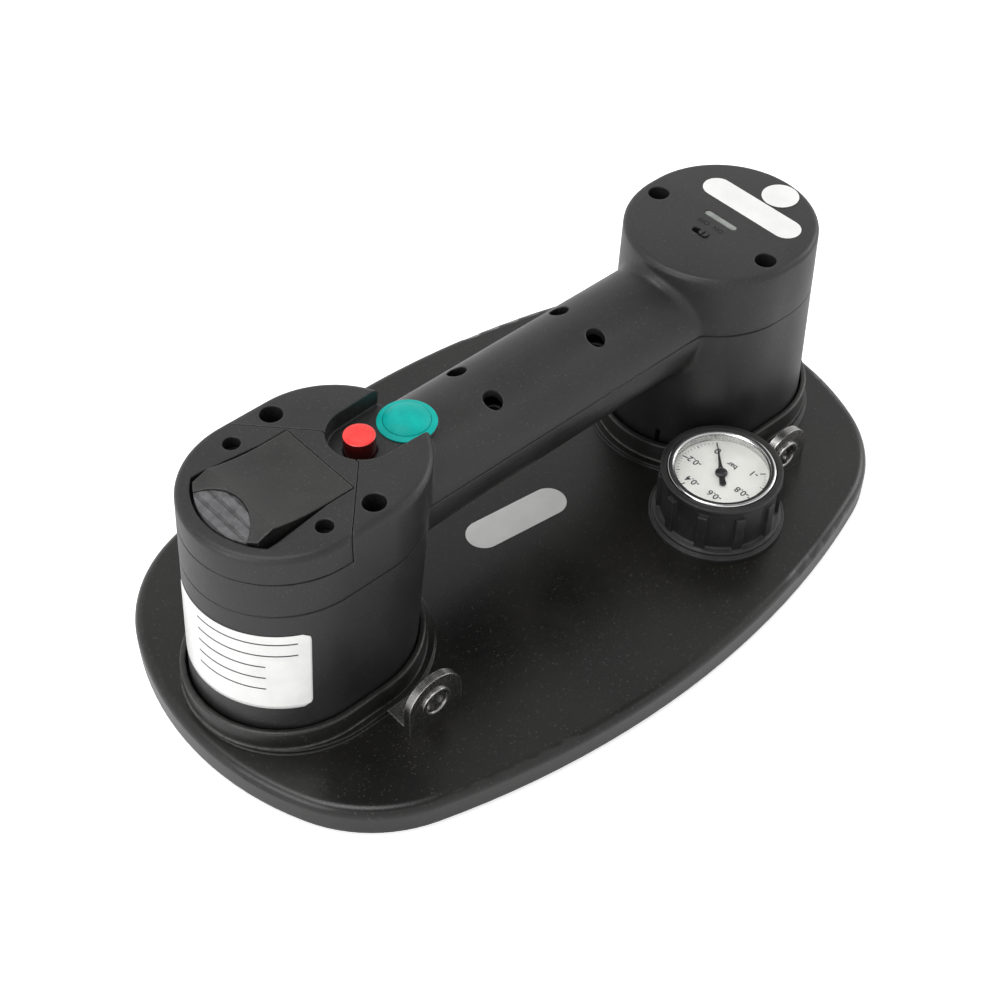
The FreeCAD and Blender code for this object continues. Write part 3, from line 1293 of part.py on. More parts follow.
def eyelet_grommet(name, x):
    """The rolled ring that lines the eye."""
    half = S.lug_thick / 2
    lip = half + 0.9
    barrel = S.lug_eye + 0.75
    return turned(name, [
        (S.lug_eye, -lip), (S.eye_flange, -lip), (S.eye_flange, -half), (barrel, -half), (barrel, half),
        (S.eye_flange, half), (S.eye_flange, lip), (S.lug_eye, lip)],
        x, -S.lug_y, S.lug_hole_height, ((1, 0, 0), 90))


def eyelet_grommet_left():
    return eyelet_grommet("eyelet_grommet_left", -S.lug_x_battery)


def eyelet_grommet_right():
    return eyelet_grommet("eyelet_grommet_right", S.lug_x_pump)


# ---------------------------------------------------------------- build and write
BUILDERS = (
    base_plate, vacuum_seal, inlet_filter, filter_cap, lower_housing, upper_housing,
    battery_cap, battery_case, battery_cells, battery_contacts, terminal_fingers, terminal_block,
    battery_latch, latch_pad, latch_pin, latch_spring,
    cap_screws, grip_screws, tower_screws, base_screws, bracket_screws,
    power_button, button_bezel, control_board, power_switch,
    release_button, release_valve_body, release_plug, release_spring, release_hose, suction_hose,
    led_window, led_emitter, slide_switch_body, slide_switch_knob,
    pump_motor, pump_eccentric, pump_crankcase, connecting_rod, diaphragm, pump_head, pump_bracket,
    motor_mounts, gauge_boot, gauge_case, gauge_bezel, gauge_glass, gauge_dial, gauge_pointer,
    bourdon_tube, gauge_stem,
    eyelet_bracket_left, eyelet_bracket_right, eyelet_grommet_left, eyelet_grommet_right,
)
for builder in BUILDERS:
    builder()
doc.recompute()

for item in doc.Objects:
    if "Invalid" in item.State or "Error" in item.State:
        raise RuntimeError(f"{item.Label} failed: {item.State}")
for body in SUBPARTS:
    if body.Shape.isNull() or not body.Shape.isValid() or body.Shape.Volume <= 0:
        raise RuntimeError(f"{body.Label} has no valid solid")

os.makedirs("parts", exist_ok=True)
for body in SUBPARTS:
    body.Shape.exportStep(f"parts/{body.Label}.step")
print(f"{len(SUBPARTS)} sub-parts written")
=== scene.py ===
import math

import bmesh
import bpy
from mathutils import Matrix, Quaternion, Vector


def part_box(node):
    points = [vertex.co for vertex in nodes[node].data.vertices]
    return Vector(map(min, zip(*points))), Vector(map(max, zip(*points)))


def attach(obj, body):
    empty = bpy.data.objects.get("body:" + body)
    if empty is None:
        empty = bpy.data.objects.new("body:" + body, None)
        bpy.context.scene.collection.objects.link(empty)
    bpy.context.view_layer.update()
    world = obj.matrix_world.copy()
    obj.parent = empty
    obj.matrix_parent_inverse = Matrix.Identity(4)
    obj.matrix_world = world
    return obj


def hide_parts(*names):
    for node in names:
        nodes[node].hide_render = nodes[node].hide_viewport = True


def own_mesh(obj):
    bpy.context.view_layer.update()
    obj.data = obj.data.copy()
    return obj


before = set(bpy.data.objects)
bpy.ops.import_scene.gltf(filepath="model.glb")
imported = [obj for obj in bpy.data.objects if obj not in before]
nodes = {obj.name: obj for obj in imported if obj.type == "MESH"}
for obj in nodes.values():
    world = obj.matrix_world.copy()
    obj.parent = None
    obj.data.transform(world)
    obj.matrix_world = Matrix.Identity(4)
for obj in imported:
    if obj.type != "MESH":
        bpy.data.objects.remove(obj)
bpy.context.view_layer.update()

# ---------------------------------------------------------------- base plate
# The oval suction plate: one heavy moulding of glass-filled nylon, near black with a warm cast. Its top
# is satin and faintly mottled by the glass. Its bevelled rim is paler, partly from wear where it meets the
# slabs and partly a painted highlight on the bevel.
# A raised collar rings the foot of each tower.


def effect(name, inputs, outputs):
    """A shader node group with named sockets, and its input and output nodes."""
    group = bpy.data.node_groups.new(name, "ShaderNodeTree")
    for label, kind, value in inputs:
        socket = group.interface.new_socket(name=label, in_out="INPUT", socket_type=kind)
        socket.default_value = value
    for label, kind in outputs:
        group.interface.new_socket(name=label, in_out="OUTPUT", socket_type=kind)
    return group, group.nodes.new("NodeGroupInput"), group.nodes.new("NodeGroupOutput")


def maths(tree, operation, first, second=None, third=None):
    """A Math node fed by sockets or numbers; gives its output socket."""
    node = tree.nodes.new("ShaderNodeMath")
    node.operation = operation
    for slot, value in enumerate((first, second, third)):
        if isinstance(value, bpy.types.NodeSocket):
            tree.links.new(value, node.inputs[slot])
        elif value is not None:
            node.inputs[slot].default_value = value
    return node.outputs[0]


def noise(tree, vector, scale, detail, roughness=0.5):
    """A Noise Texture on the given coordinates; scale is a number or a socket."""
    node = tree.nodes.new("ShaderNodeTexNoise")
    node.inputs["Detail"].default_value = detail
    node.inputs["Roughness"].default_value = roughness
    tree.links.new(vector, node.inputs["Vector"])
    if isinstance(scale, bpy.types.NodeSocket):
        tree.links.new(scale, node.inputs["Scale"])
    else:
        node.inputs["Scale"].default_value = scale
    return node.outputs["Fac"]


def spread(tree, value, low, high, out_low=0.0, out_high=1.0):
    """A clamped Map Range from low..high to out_low..out_high."""
    node = tree.nodes.new("ShaderNodeMapRange")
    node.inputs["From Min"].default_value = low
    node.inputs["From Max"].default_value = high
    node.inputs["To Min"].default_value = out_low
    node.inputs["To Max"].default_value = out_high
    tree.links.new(value, node.inputs["Value"])
    return node.outputs["Result"]


# Spark-eroded mould grain: fine pits on a soft low swell, with broad patches of colour.
mould_grain, given, gives = effect(
    "Mould grain",
    [("Grains per metre", "NodeSocketFloat", 2600.0), ("Patches per metre", "NodeSocketFloat", 40.0)],
    [("Height", "NodeSocketFloat"), ("Patch", "NodeSocketFloat"), ("Fleck", "NodeSocketFloat")])
place = mould_grain.nodes.new("ShaderNodeTexCoord").outputs["Object"]
pits = noise(mould_grain, place, given.outputs["Grains per metre"], 2.0, 0.6)
coarse = maths(mould_grain, "MULTIPLY", given.outputs["Grains per metre"], 0.14)
swell = noise(mould_grain, place, coarse, 2.0)
height = maths(mould_grain, "MULTIPLY_ADD", swell, 0.35, pits)
mould_grain.links.new(height, gives.inputs["Height"])
patches = noise(mould_grain, place, given.outputs["Patches per metre"], 4.0, 0.55)
mould_grain.links.new(spread(mould_grain, patches, 0.32, 0.68), gives.inputs["Patch"])
half_scale = maths(mould_grain, "MULTIPLY", given.outputs["Grains per metre"], 0.5)
flecks = noise(mould_grain, place, half_scale, 1.0)
mould_grain.links.new(spread(mould_grain, flecks, 0.66, 0.74), gives.inputs["Fleck"])

# Paler edges where the surface turns within a short width, broken up by scuffs: partly wear, partly a painted
# highlight along the edges.
edge_wear_and_highlight, given, gives = effect(
    "Edge wear and highlight",
    [("Width", "NodeSocketFloat", 0.0008), ("Scuffs per metre", "NodeSocketFloat", 350.0)],
    [("Wear and highlight", "NodeSocketFloat")])
rounded = edge_wear_and_highlight.nodes.new("ShaderNodeBevel")
rounded.samples = 4
edge_wear_and_highlight.links.new(given.outputs["Width"], rounded.inputs["Radius"])
facing = edge_wear_and_highlight.nodes.new("ShaderNodeNewGeometry")
turn = edge_wear_and_highlight.nodes.new("ShaderNodeVectorMath")
turn.operation = "DOT_PRODUCT"
edge_wear_and_highlight.links.new(rounded.outputs["Normal"], turn.inputs[0])
edge_wear_and_highlight.links.new(facing.outputs["Normal"], turn.inputs[1])
corner = spread(edge_wear_and_highlight, turn.outputs["Value"], 0.995, 0.9)
place = edge_wear_and_highlight.nodes.new("ShaderNodeTexCoord").outputs["Object"]
scuffing = noise(edge_wear_and_highlight, place, given.outputs["Scuffs per metre"], 4.0, 0.7)
scuffs = spread(edge_wear_and_highlight, scuffing, 0.38, 0.62)
edge_wear_and_highlight.links.new(maths(edge_wear_and_highlight, "MULTIPLY", corner, scuffs), gives.inputs["Wear and highlight"])

# Site dust: a thin film that settles on what faces up, thicker in drifts.
site_dust, given, gives = effect(
    "Site dust",
    [("Drifts per metre", "NodeSocketFloat", 22.0)],
    [("Dust", "NodeSocketFloat")])
facing = site_dust.nodes.new("ShaderNodeNewGeometry")
upright = site_dust.nodes.new("ShaderNodeSeparateXYZ")
site_dust.links.new(facing.outputs["Normal"], upright.inputs[0])
place = site_dust.nodes.new("ShaderNodeTexCoord").outputs["Object"]
drifts = spread(site_dust, noise(site_dust, place, given.outputs["Drifts per metre"], 6.0, 0.65), 0.4, 0.75)
settled = spread(site_dust, upright.outputs["Z"], 0.3, 1.0)
site_dust.links.new(maths(site_dust, "MULTIPLY", settled, drifts), gives.inputs["Dust"])


def placed(tree, group, **values):
    """A group node in a material with its own values; underscores stand for spaces."""
    node = tree.nodes.new("ShaderNodeGroup")
    node.node_tree = group
    for label, value in values.items():
        node.inputs[label.replace("_", " ")].default_value = value
    return node


def blended(tree, share, first, second):
    """Mixes two colours (sockets or triples) by a share that changes over the surface."""
    node = tree.nodes.new("ShaderNodeMix")
    node.data_type = "RGBA"
    tree.links.new(share, node.inputs["Factor"])
    for socket, value in (("A", first), ("B", second)):
        target = [s for s in node.inputs if s.name == socket and s.type == "RGBA"][0]
        if isinstance(value, bpy.types.NodeSocket):
            tree.links.new(value, target)
        else:
            target.default_value = (*value, 1.0)
    return [s for s in node.outputs if s.type == "RGBA"][0]


def relief(tree, shader, height, depth, ease=0.0):
    """A Bump node of the given depth in metres on the shader's normal, over corners eased by a radius."""
    node = tree.nodes.new("ShaderNodeBump")
    node.inputs["Strength"].default_value = 1.0
    node.inputs["Distance"].default_value = depth
    tree.links.new(height, node.inputs["Height"])
    if ease:
        eased = tree.nodes.new("ShaderNodeBevel")
        eased.samples = 6
        eased.inputs["Radius"].default_value = ease
        tree.links.new(eased.outputs["Normal"], node.inputs["Normal"])
    tree.links.new(node.outputs["Normal"], shader.inputs["Normal"])


def new_finish(name):
    """An empty node material with one Principled shader on its surface."""
    finish = bpy.data.materials.new(name)
    finish.use_nodes = True
    tree = finish.node_tree
    tree.nodes.clear()
    surface = tree.nodes.new("ShaderNodeOutputMaterial")
    shader = tree.nodes.new("ShaderNodeBsdfPrincipled")
    tree.links.new(shader.outputs["BSDF"], surface.inputs["Surface"])
    return finish, tree, shader


def moulded(name, deep, pale, paler_colour, rough, grains, depth, patch=40.0, wear=0.0008, wear_and_highlight=0.5,
            dust=0.12, specular=0.5, ease=0.0006):
    """Grained moulded plastic or rubber: patchy colour, flecks, paler edges that are partly wear and partly a
    painted highlight, a film of dust.
    """
    finish, tree, shader = new_finish(name)
    grain = placed(tree, mould_grain, Grains_per_metre=grains, Patches_per_metre=patch)
    edges = placed(tree, edge_wear_and_highlight, Width=wear)
    film = placed(tree, site_dust)
    colour = blended(tree, grain.outputs["Patch"], deep, pale)
    colour = blended(tree, maths(tree, "MULTIPLY", grain.outputs["Fleck"], 0.35), colour, paler_colour)
    colour = blended(tree, maths(tree, "MULTIPLY", edges.outputs["Wear and highlight"], wear_and_highlight), colour, paler_colour)
    grey_dust = (0.30, 0.28, 0.25)
    colour = blended(tree, maths(tree, "MULTIPLY", film.outputs["Dust"], dust), colour, grey_dust)
    tree.links.new(colour, shader.inputs["Base Color"])
    sheen = maths(tree, "MULTIPLY_ADD", grain.outputs["Patch"], rough[1] - rough[0], rough[0])
    sheen = maths(tree, "MULTIPLY_ADD", film.outputs["Dust"], dust * 0.6, sheen)
    tree.links.new(sheen, shader.inputs["Roughness"])
    shader.inputs["Specular IOR Level"].default_value = specular
    relief(tree, shader, grain.outputs["Height"], depth, ease=ease)
    return finish


def finish_node(node, finish):
    """Gives a carried-over solid its finish."""
    solid = nodes[node]
    solid.data.materials.clear()
    solid.data.materials.append(finish)
    return solid


plate_nylon = moulded("plate_nylon", (0.0050, 0.0048, 0.0044), (0.0085, 0.0081, 0.0074),
                      (0.08, 0.08, 0.075), (0.25, 0.33), grains=2200.0, depth=0.00003, patch=26.0,
                      wear=0.0012, wear_and_highlight=0.28, dust=0.015, ease=0.0011)
finish_node("base_plate", plate_nylon)
# Painted highlight: the collars are the plate's own nylon, made paler and with stronger pale edges to stand
# for the light along their rounded rims.
collar_nylon_highlit = moulded("collar_nylon_highlit", (0.0085, 0.0083, 0.0078), (0.0130, 0.0126, 0.0118),
                       (0.11, 0.11, 0.105), (0.28, 0.38), grains=2200.0, depth=0.00003, patch=26.0,
                       wear=0.0014, wear_and_highlight=0.5, dust=0.04, ease=0.0005)


def new_piece(name, work, finish, crease=None):
    """Ends a bmesh as an object with its finish; with a crease angle its faces are smooth below that."""
    mesh = bpy.data.meshes.new(name)
    work.to_mesh(mesh)
    work.free()
    if crease is not None:
        mesh.shade_smooth()
        mesh.set_sharp_from_angle(angle=math.radians(crease))
    mesh.materials.append(finish)
    piece = bpy.data.objects.new(name, mesh)
    bpy.context.scene.collection.objects.link(piece)
    return piece


def tower_collar(name, side):
    """The ring raised on the plate round a tower's foot: a section of radius and height, swept round two
    half circles whose centres lie that far from the middle of the plate. All are in millimetres."""
    far_centre, near_centre, steps = 107.5, 92.0, 48
    section = [(34.12, 14.6), (37.10, 14.6), (36.62, 14.95), (36.38, 15.5), (36.3, 16.2), (36.3, 22.1),
               (36.17, 22.5), (35.8, 22.72), (35.3, 22.8), (34.6, 22.8), (34.3, 22.7), (34.12, 22.4)]
    work = bmesh.new()
    hoops = []
    for centre, first in ((far_centre, -90), (near_centre, 90)):
        for step in range(steps + 1):
            turn = math.radians(first + 180 * step / steps)
            hoops.append([work.verts.new((side * (centre + radius * math.cos(turn)) / 1000,
                                          radius * math.sin(turn) / 1000, height / 1000))
                          for radius, height in section])
    for k, hoop in enumerate(hoops):
        after = hoops[(k + 1) % len(hoops)]
        for i in range(len(section)):
            j = (i + 1) % len(section)
            work.faces.new([hoop[i], after[i], after[j], hoop[j]])
    bmesh.ops.recalc_face_normals(work, faces=work.faces)
    collar = new_piece(name, work, collar_nylon_highlit, 50)
    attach(collar, "housing")


tower_collar("tower_collar_left", -1)
tower_collar("tower_collar_right", 1)

# ---------------------------------------------------------------- vacuum seal and inlet
# The rim seal is a ring of black closed-cell rubber pressed into the plate's groove; it alone touches the
# slab. Inside the chamber a felt disc behind a clipped grille keeps grit out of the suction port.


def ease_edges(solid, width, segments=2):
    """Joins the solid's faces, clears its flat triangles and rounds its hard edges."""
    if "custom_normal" in solid.data.attributes:
        solid.data.attributes.remove(solid.data.attributes["custom_normal"])
    solid.data.shade_smooth()
    weld = solid.modifiers.new("joined", "WELD")
    weld.merge_threshold = 2e-6
    plain = solid.modifiers.new("flats", "DECIMATE")
    plain.decimate_type = "DISSOLVE"
    plain.angle_limit = math.radians(0.4)
    soft = solid.modifiers.new("edges", "BEVEL")
    soft.width = width
    soft.segments = segments
    soft.limit_method = "ANGLE"
    soft.angle_limit = math.radians(30.0)
    soft.use_clamp_overlap = True
    soft.harden_normals = True
    soft.miter_outer = "MITER_ARC"


seal_foam = moulded("seal_foam", (0.010, 0.010, 0.010), (0.018, 0.018, 0.018), (0.05, 0.05, 0.05),
                    (0.75, 0.9), grains=1500.0, depth=0.00012, patch=120.0, wear=0.0005, wear_and_highlight=0.2,
                    dust=0.1, specular=0.3)
ease_edges(finish_node("vacuum_seal", seal_foam), 0.0004)


def felt(name, dark, light):
    """Pressed wool felt: matted fibres that catch the light."""
    finish, tree, shader = new_finish(name)
    place = tree.nodes.new("ShaderNodeTexCoord").outputs["Object"]
    fibres = noise(tree, place, 3800.0, 8.0, 0.75)
    tree.links.new(blended(tree, spread(tree, fibres, 0.35, 0.65), dark, light), shader.inputs["Base Color"])
    shader.inputs["Roughness"].default_value = 0.95
    shader.inputs["Sheen Weight"].default_value = 0.4
    relief(tree, shader, fibres, 0.0003)
    return finish


finish_node("inlet_filter", felt("filter_felt", (0.40, 0.39, 0.35), (0.66, 0.64, 0.58)))
inner_nylon = moulded("inner_nylon", (0.085, 0.085, 0.088), (0.12, 0.12, 0.122), (0.2, 0.2, 0.2),
                      (0.4, 0.5), grains=1800.0, depth=0.00004, wear_and_highlight=0.2, dust=0.02)
ease_edges(finish_node("filter_cap", inner_nylon), 0.0002)

# ---------------------------------------------------------------- housing
# Two mouldings meet on a seam at the grip's centre line and carry both towers and the tube grip between
# them. Charcoal ABS from a finely eroded mould, a little polished by hands where it is held.

# The line between two mouldings, a shallow groove with painted shade in its gap: plain on the towers, faint
# along the grip.
seam_groove_and_shade, given, gives = effect(
    "Parting seam and shade",
    [("Height", "NodeSocketFloat", 0.076), ("Half width", "NodeSocketFloat", 0.0004)],
    [("Line", "NodeSocketFloat")])
place = seam_groove_and_shade.nodes.new("ShaderNodeSeparateXYZ")
seam_groove_and_shade.links.new(seam_groove_and_shade.nodes.new("ShaderNodeTexCoord").outputs["Object"], place.inputs[0])
offset = maths(seam_groove_and_shade, "SUBTRACT", place.outputs["Z"], given.outputs["Height"])
away = maths(seam_groove_and_shade, "DIVIDE", maths(seam_groove_and_shade, "ABSOLUTE", offset), given.outputs["Half width"])
near = spread(seam_groove_and_shade, away, 0.35, 1.0, 1.0, 0.0)
tower = spread(seam_groove_and_shade, maths(seam_groove_and_shade, "ABSOLUTE", place.outputs["X"]), 0.062, 0.074, 0.12, 1.0)
seam_groove_and_shade.links.new(maths(seam_groove_and_shade, "MULTIPLY", near, tower), gives.inputs["Line"])


def darken_along_line(finish, group, darkness, depth, **values):
    """Darkens a finish toward near black along a group's Line and sinks a groove of the given depth there; at
    the seams and the vent button's side the dark is painted shade.
    """
    tree = finish.node_tree
    shader = [node for node in tree.nodes if node.type == "BSDF_PRINCIPLED"][0]
    line = placed(tree, group, **values).outputs["Line"]
    colour = shader.inputs["Base Color"].links[0].from_socket
    tree.links.new(blended(tree, maths(tree, "MULTIPLY", line, darkness), colour, (0.002, 0.002, 0.002)),
                   shader.inputs["Base Color"])
    normal = shader.inputs["Normal"].links[0].from_socket
    relief(tree, shader, maths(tree, "SUBTRACT", 1.0, line), depth)
    bump = shader.inputs["Normal"].links[0].from_node
    tree.links.new(normal, bump.inputs["Normal"])
    return finish


def housing_finish(name):
    """Charcoal moulded ABS."""
    return moulded(name, (0.0095, 0.0095, 0.0097), (0.0150, 0.0150, 0.0148), (0.085, 0.085, 0.085),
                   (0.36, 0.47), grains=2600.0, depth=0.00005, patch=34.0, wear=0.0008, wear_and_highlight=0.25,
                   dust=0.02, ease=0.0009)


# Painted shade: the parting seam is darkened to near black, standing for the shade in its gap.
housing_abs = darken_along_line(housing_finish("housing_abs"), seam_groove_and_shade, 0.9, 0.0006,
                     Height=0.076, Half_width=0.00042)
ease_edges(finish_node("lower_housing", housing_abs), 0.00028)
ease_edges(finish_node("upper_housing", housing_abs), 0.00028)

# ---------------------------------------------------------------- screws
# Black-oxide machine screws hold the halves, the lid and the plate together. They sit at the bottom of
# deep holes, driven from above in the grip, towers and lid and from below in the plate.


def metal(name, dark, light, rough, line_scale=(1.0, 1.0, 1.0), lines=1600.0, depth=0.000004,
          paler_colour=None, wear=0.0004, scuffs=350.0):
    """Plated or bare metal: fine drawn lines, cloudy plating, brighter edges that are partly wear and partly
    a painted highlight.
    """
    finish, tree, shader = new_finish(name)
    place = tree.nodes.new("ShaderNodeTexCoord").outputs["Object"]
    drawn = tree.nodes.new("ShaderNodeMapping")
    drawn.inputs["Scale"].default_value = line_scale
    tree.links.new(place, drawn.inputs["Vector"])
    strokes = noise(tree, drawn.outputs["Vector"], lines, 3.0, 0.6)
    clouds = noise(tree, place, 180.0, 4.0, 0.6)
    colour = blended(tree, spread(tree, clouds, 0.35, 0.65), dark, light)
    if paler_colour is not None:
        edges = placed(tree, edge_wear_and_highlight, Width=wear, Scuffs_per_metre=scuffs)
        colour = blended(tree, edges.outputs["Wear and highlight"], colour, paler_colour)
    tree.links.new(colour, shader.inputs["Base Color"])
    shader.inputs["Metallic"].default_value = 1.0
    tree.links.new(spread(tree, strokes, 0.3, 0.7, rough[0], rough[1]), shader.inputs["Roughness"])
    relief(tree, shader, strokes, depth)
    return finish


black_oxide = metal("black_oxide", (0.02, 0.02, 0.021), (0.04, 0.04, 0.042), (0.35, 0.5),
                    paler_colour=(0.25, 0.25, 0.25))
for node in ("grip_screws", "tower_screws", "base_screws", "cap_screws"):
    finish_node(node, black_oxide)

# ---------------------------------------------------------------- battery lid and thumb latch
# The pack's lid closes the tower flush, cut to a chevron toward the grip. A sprung thumb latch lies in it:
# flush at its pin, hollowed up to a ridge, with a soft grey grooved pad under the thumb.
# Painted shade: the lid's seam is darkened to near black, standing for the shade in its gap.
cap_abs = darken_along_line(housing_finish("cap_abs"), seam_groove_and_shade, 0.9, 0.0006, Height=0.0901, Half_width=0.0006)
ease_edges(finish_node("battery_cap", cap_abs), 0.00028)
latch_abs = moulded("latch_abs", (0.0100, 0.0100, 0.0098), (0.0165, 0.0163, 0.0155), (0.09, 0.09, 0.088),
                    (0.30, 0.42), grains=2400.0, depth=0.00004, patch=60.0, wear=0.0009, wear_and_highlight=0.35,
                    dust=0.05, ease=0.0008)
ease_edges(finish_node("battery_latch", latch_abs), 0.0003)
pad_rubber = moulded("pad_rubber", (0.055, 0.055, 0.058), (0.13, 0.13, 0.136), (0.2, 0.2, 0.2),
                     (0.6, 0.72), grains=1600.0, depth=0.0001, patch=330.0, wear=0.0008, wear_and_highlight=0.4, dust=0.1)

# Worn grooves across the pad, broken up by handling.
thumb_grooves, given, gives = effect(
    "Thumb grooves",
    [("Grooves per metre", "NodeSocketFloat", 420.0)],
    [("Line", "NodeSocketFloat")])
place = thumb_grooves.nodes.new("ShaderNodeSeparateXYZ")
where = thumb_grooves.nodes.new("ShaderNodeTexCoord").outputs["Object"]
thumb_grooves.links.new(where, place.inputs[0])
turns = maths(thumb_grooves, "MULTIPLY", place.outputs["X"], given.outputs["Grooves per metre"])
wave = maths(thumb_grooves, "SINE", maths(thumb_grooves, "MULTIPLY", turns, math.tau))
broken = spread(thumb_grooves, noise(thumb_grooves, where, 500.0, 4.0, 0.7), 0.3, 0.6, 0.45, 1.0)
cut = spread(thumb_grooves, wave, 0.45, 0.9)
thumb_grooves.links.new(maths(thumb_grooves, "MULTIPLY", cut, broken), gives.inputs["Line"])
darken_along_line(pad_rubber, thumb_grooves, 0.42, 0.0004, Grooves_per_metre=270.0)
ease_edges(finish_node("latch_pad", pad_rubber), 0.0003)
spring_wire = metal("spring_wire", (0.42, 0.42, 0.42), (0.6, 0.6, 0.6), (0.2, 0.35))
finish_node("latch_pin", spring_wire)


def coil_spring(name, node, body, wire, turns):
    """A coil of wire with flat ends, in its node's place."""
    low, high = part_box(node)
    middle = (Vector(low) + Vector(high)) / 2
    radius = (high[0] - low[0]) / 2 - wire
    climb = high[2] - low[2] - 2 * wire
    steps, sides, flat = 36, 12, 0.75
    up = Vector((0, 0, wire))
    work = bmesh.new()
    rings = []
    for step in range(turns * steps + 1):
        turned = step / steps
        share = min(max((turned - flat) / (turns - 2 * flat), 0.0), 1.0)
        out = Vector((math.cos(math.tau * turned), math.sin(math.tau * turned), 0.0))
        core = Vector((middle.x, middle.y, low[2] + wire + climb * share)) + out * radius
        rings.append([work.verts.new(core + out * wire * math.cos(angle) + up * math.sin(angle))
                      for angle in [math.tau * k / sides for k in range(sides)]])
    for below, above in zip(rings, rings[1:]):
        for k in range(sides):
            j = (k + 1) % sides
            work.faces.new([below[k], below[j], above[j], above[k]])
    work.faces.new(rings[0])
    work.faces.new(rings[-1])
    bmesh.ops.recalc_face_normals(work, faces=work.faces)
    spring = new_piece(name, work, spring_wire, 50)
    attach(spring, body)
    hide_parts(node)
    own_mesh(spring)


coil_spring("lever_spring", "latch_spring", "battery", 0.0004, 3)

# ---------------------------------------------------------------- power dome and vent button
# Two buttons share the finger recess: a teal silicone dome in its ring switches the pump, and a glossy red
# plunger vents the plate.
POWER_X = -0.0506
RELEASE_X = -0.0704


def turned_piece(name, outline, centre, finish, rings=96, lying=None):
    """A lathe-turned form: closed outline of (radius, height) pairs in metres, spun round the centre."""
    work = bmesh.new()
    loops = []
    for radius, height in outline:
        if radius < 1e-7:
            loops.append([work.verts.new((0, 0, height))])
            continue
        loops.append([work.verts.new((radius * math.cos(angle), radius * math.sin(angle), height))
                      for angle in [math.tau * k / rings for k in range(rings)]])
    count = len(loops)
    closed = outline[0][0] > 1e-7 and outline[-1][0] > 1e-7
    for i in range(count if closed else count - 1):
        below, above = loops[i], loops[(i + 1) % count]
        for k in range(rings):
            j = (k + 1) % rings
            corners = [below[k % len(below)], below[j % len(below)]]
            corners += [above[j % len(above)], above[k % len(above)]]
            corners = list(dict.fromkeys(corners))
            if len(corners) > 2:
                work.faces.new(corners)
    bmesh.ops.recalc_face_normals(work, faces=work.faces)
    if lying is not None:
        bmesh.ops.transform(work, matrix=lying, verts=work.verts)
    bmesh.ops.translate(work, verts=work.verts, vec=Vector(centre))
    return new_piece(name, work, finish, 38)


def silicone(name, deep, pale):
    """Soft silicone rubber: satin, with a dry bloom."""
    finish, tree, shader = new_finish(name)
    place = tree.nodes.new("ShaderNodeTexCoord").outputs["Object"]
    bloom = noise(tree, place, 260.0, 5.0, 0.6)
    tree.links.new(blended(tree, spread(tree, bloom, 0.35, 0.65), deep, pale), shader.inputs["Base Color"])
    tree.links.new(spread(tree, bloom, 0.3, 0.7, 0.42, 0.56), shader.inputs["Roughness"])
    shader.inputs["Specular IOR Level"].default_value = 0.16
    relief(tree, shader, noise(tree, place, 3000.0, 2.0), 0.00002)
    return finish


teal = silicone("teal_silicone", (0.0010, 0.355, 0.315), (0.0030, 0.425, 0.375))
dome = turned_piece("power_dome", [
    (0.0, 0.0884), (0.0038, 0.0884), (0.0040, 0.0886), (0.0040, 0.0944), (0.0078, 0.0944), (0.00800, 0.0946),
    (0.00805, 0.0952), (0.00800, 0.09548), (0.0074, 0.0960), (0.0061, 0.09672), (0.0045, 0.0973),
    (0.0028, 0.09768), (0.0013, 0.09786), (0.0, 0.0979)], (POWER_X, 0, 0), teal)
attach(dome, "power_button")
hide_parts("power_button")
ring = turned_piece("dome_ring", [
    (0.00812, 0.09435), (0.01012, 0.09435), (0.01020, 0.09455), (0.01012, 0.09478), (0.0098, 0.0949),
    (0.0092, 0.0950), (0.0086, 0.09518), (0.00818, 0.09532), (0.00812, 0.0952)], (POWER_X, 0, 0), teal)
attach(ring, "housing")
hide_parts("button_bezel")


def gloss(name, deep, pale, rough, coat=0.6):
    """Polished injection-moulded plastic under a clear skin, with hairline scratches."""
    finish, tree, shader = new_finish(name)
    place = tree.nodes.new("ShaderNodeTexCoord").outputs["Object"]
    clouds = noise(tree, place, 300.0, 3.0)
    tree.links.new(blended(tree, spread(tree, clouds, 0.3, 0.7), deep, pale), shader.inputs["Base Color"])
    scratches = noise(tree, place, 2500.0, 6.0, 0.8)
    tree.links.new(spread(tree, scratches, 0.4, 0.75, rough[0], rough[1]), shader.inputs["Roughness"])
    shader.inputs["Coat Weight"].default_value = coat
    shader.inputs["Coat Roughness"].default_value = 0.08
    relief(tree, shader, clouds, 0.00002)
    return finish


red = gloss("red_gloss", (0.78, 0.030, 0.026), (0.88, 0.048, 0.042), (0.2, 0.34), 0.15)

# Painted shade: the button's side below its cap is darkened toward near black, standing for the shade in its
# hole.
skirt, given, gives = effect(
    "Shaded skirt",
    [("Below height", "NodeSocketFloat", 0.1006)],
    [("Line", "NodeSocketFloat")])
place = skirt.nodes.new("ShaderNodeSeparateXYZ")
skirt.links.new(skirt.nodes.new("ShaderNodeTexCoord").outputs["Object"], place.inputs[0])
drop = maths(skirt, "SUBTRACT", given.outputs["Below height"], place.outputs["Z"])
skirt.links.new(spread(skirt, drop, 0.0, 0.00025), gives.inputs["Line"])
darken_along_line(red, skirt, 0.95, 0.0, Below_height=0.1010)
plunger = turned_piece("vent_button", [
    (0.0, 0.0680), (0.0024, 0.0680), (0.0024, 0.0890), (0.0064, 0.0890), (0.0064, 0.0910), (0.0054, 0.0910),
    (0.0054, 0.1007), (0.00535, 0.10092), (0.0052, 0.10106), (0.0049, 0.10112), (0.0030, 0.10105),
    (0.0, 0.1010)], (RELEASE_X, 0, 0), red)
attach(plunger, "release_button")
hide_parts("release_button")
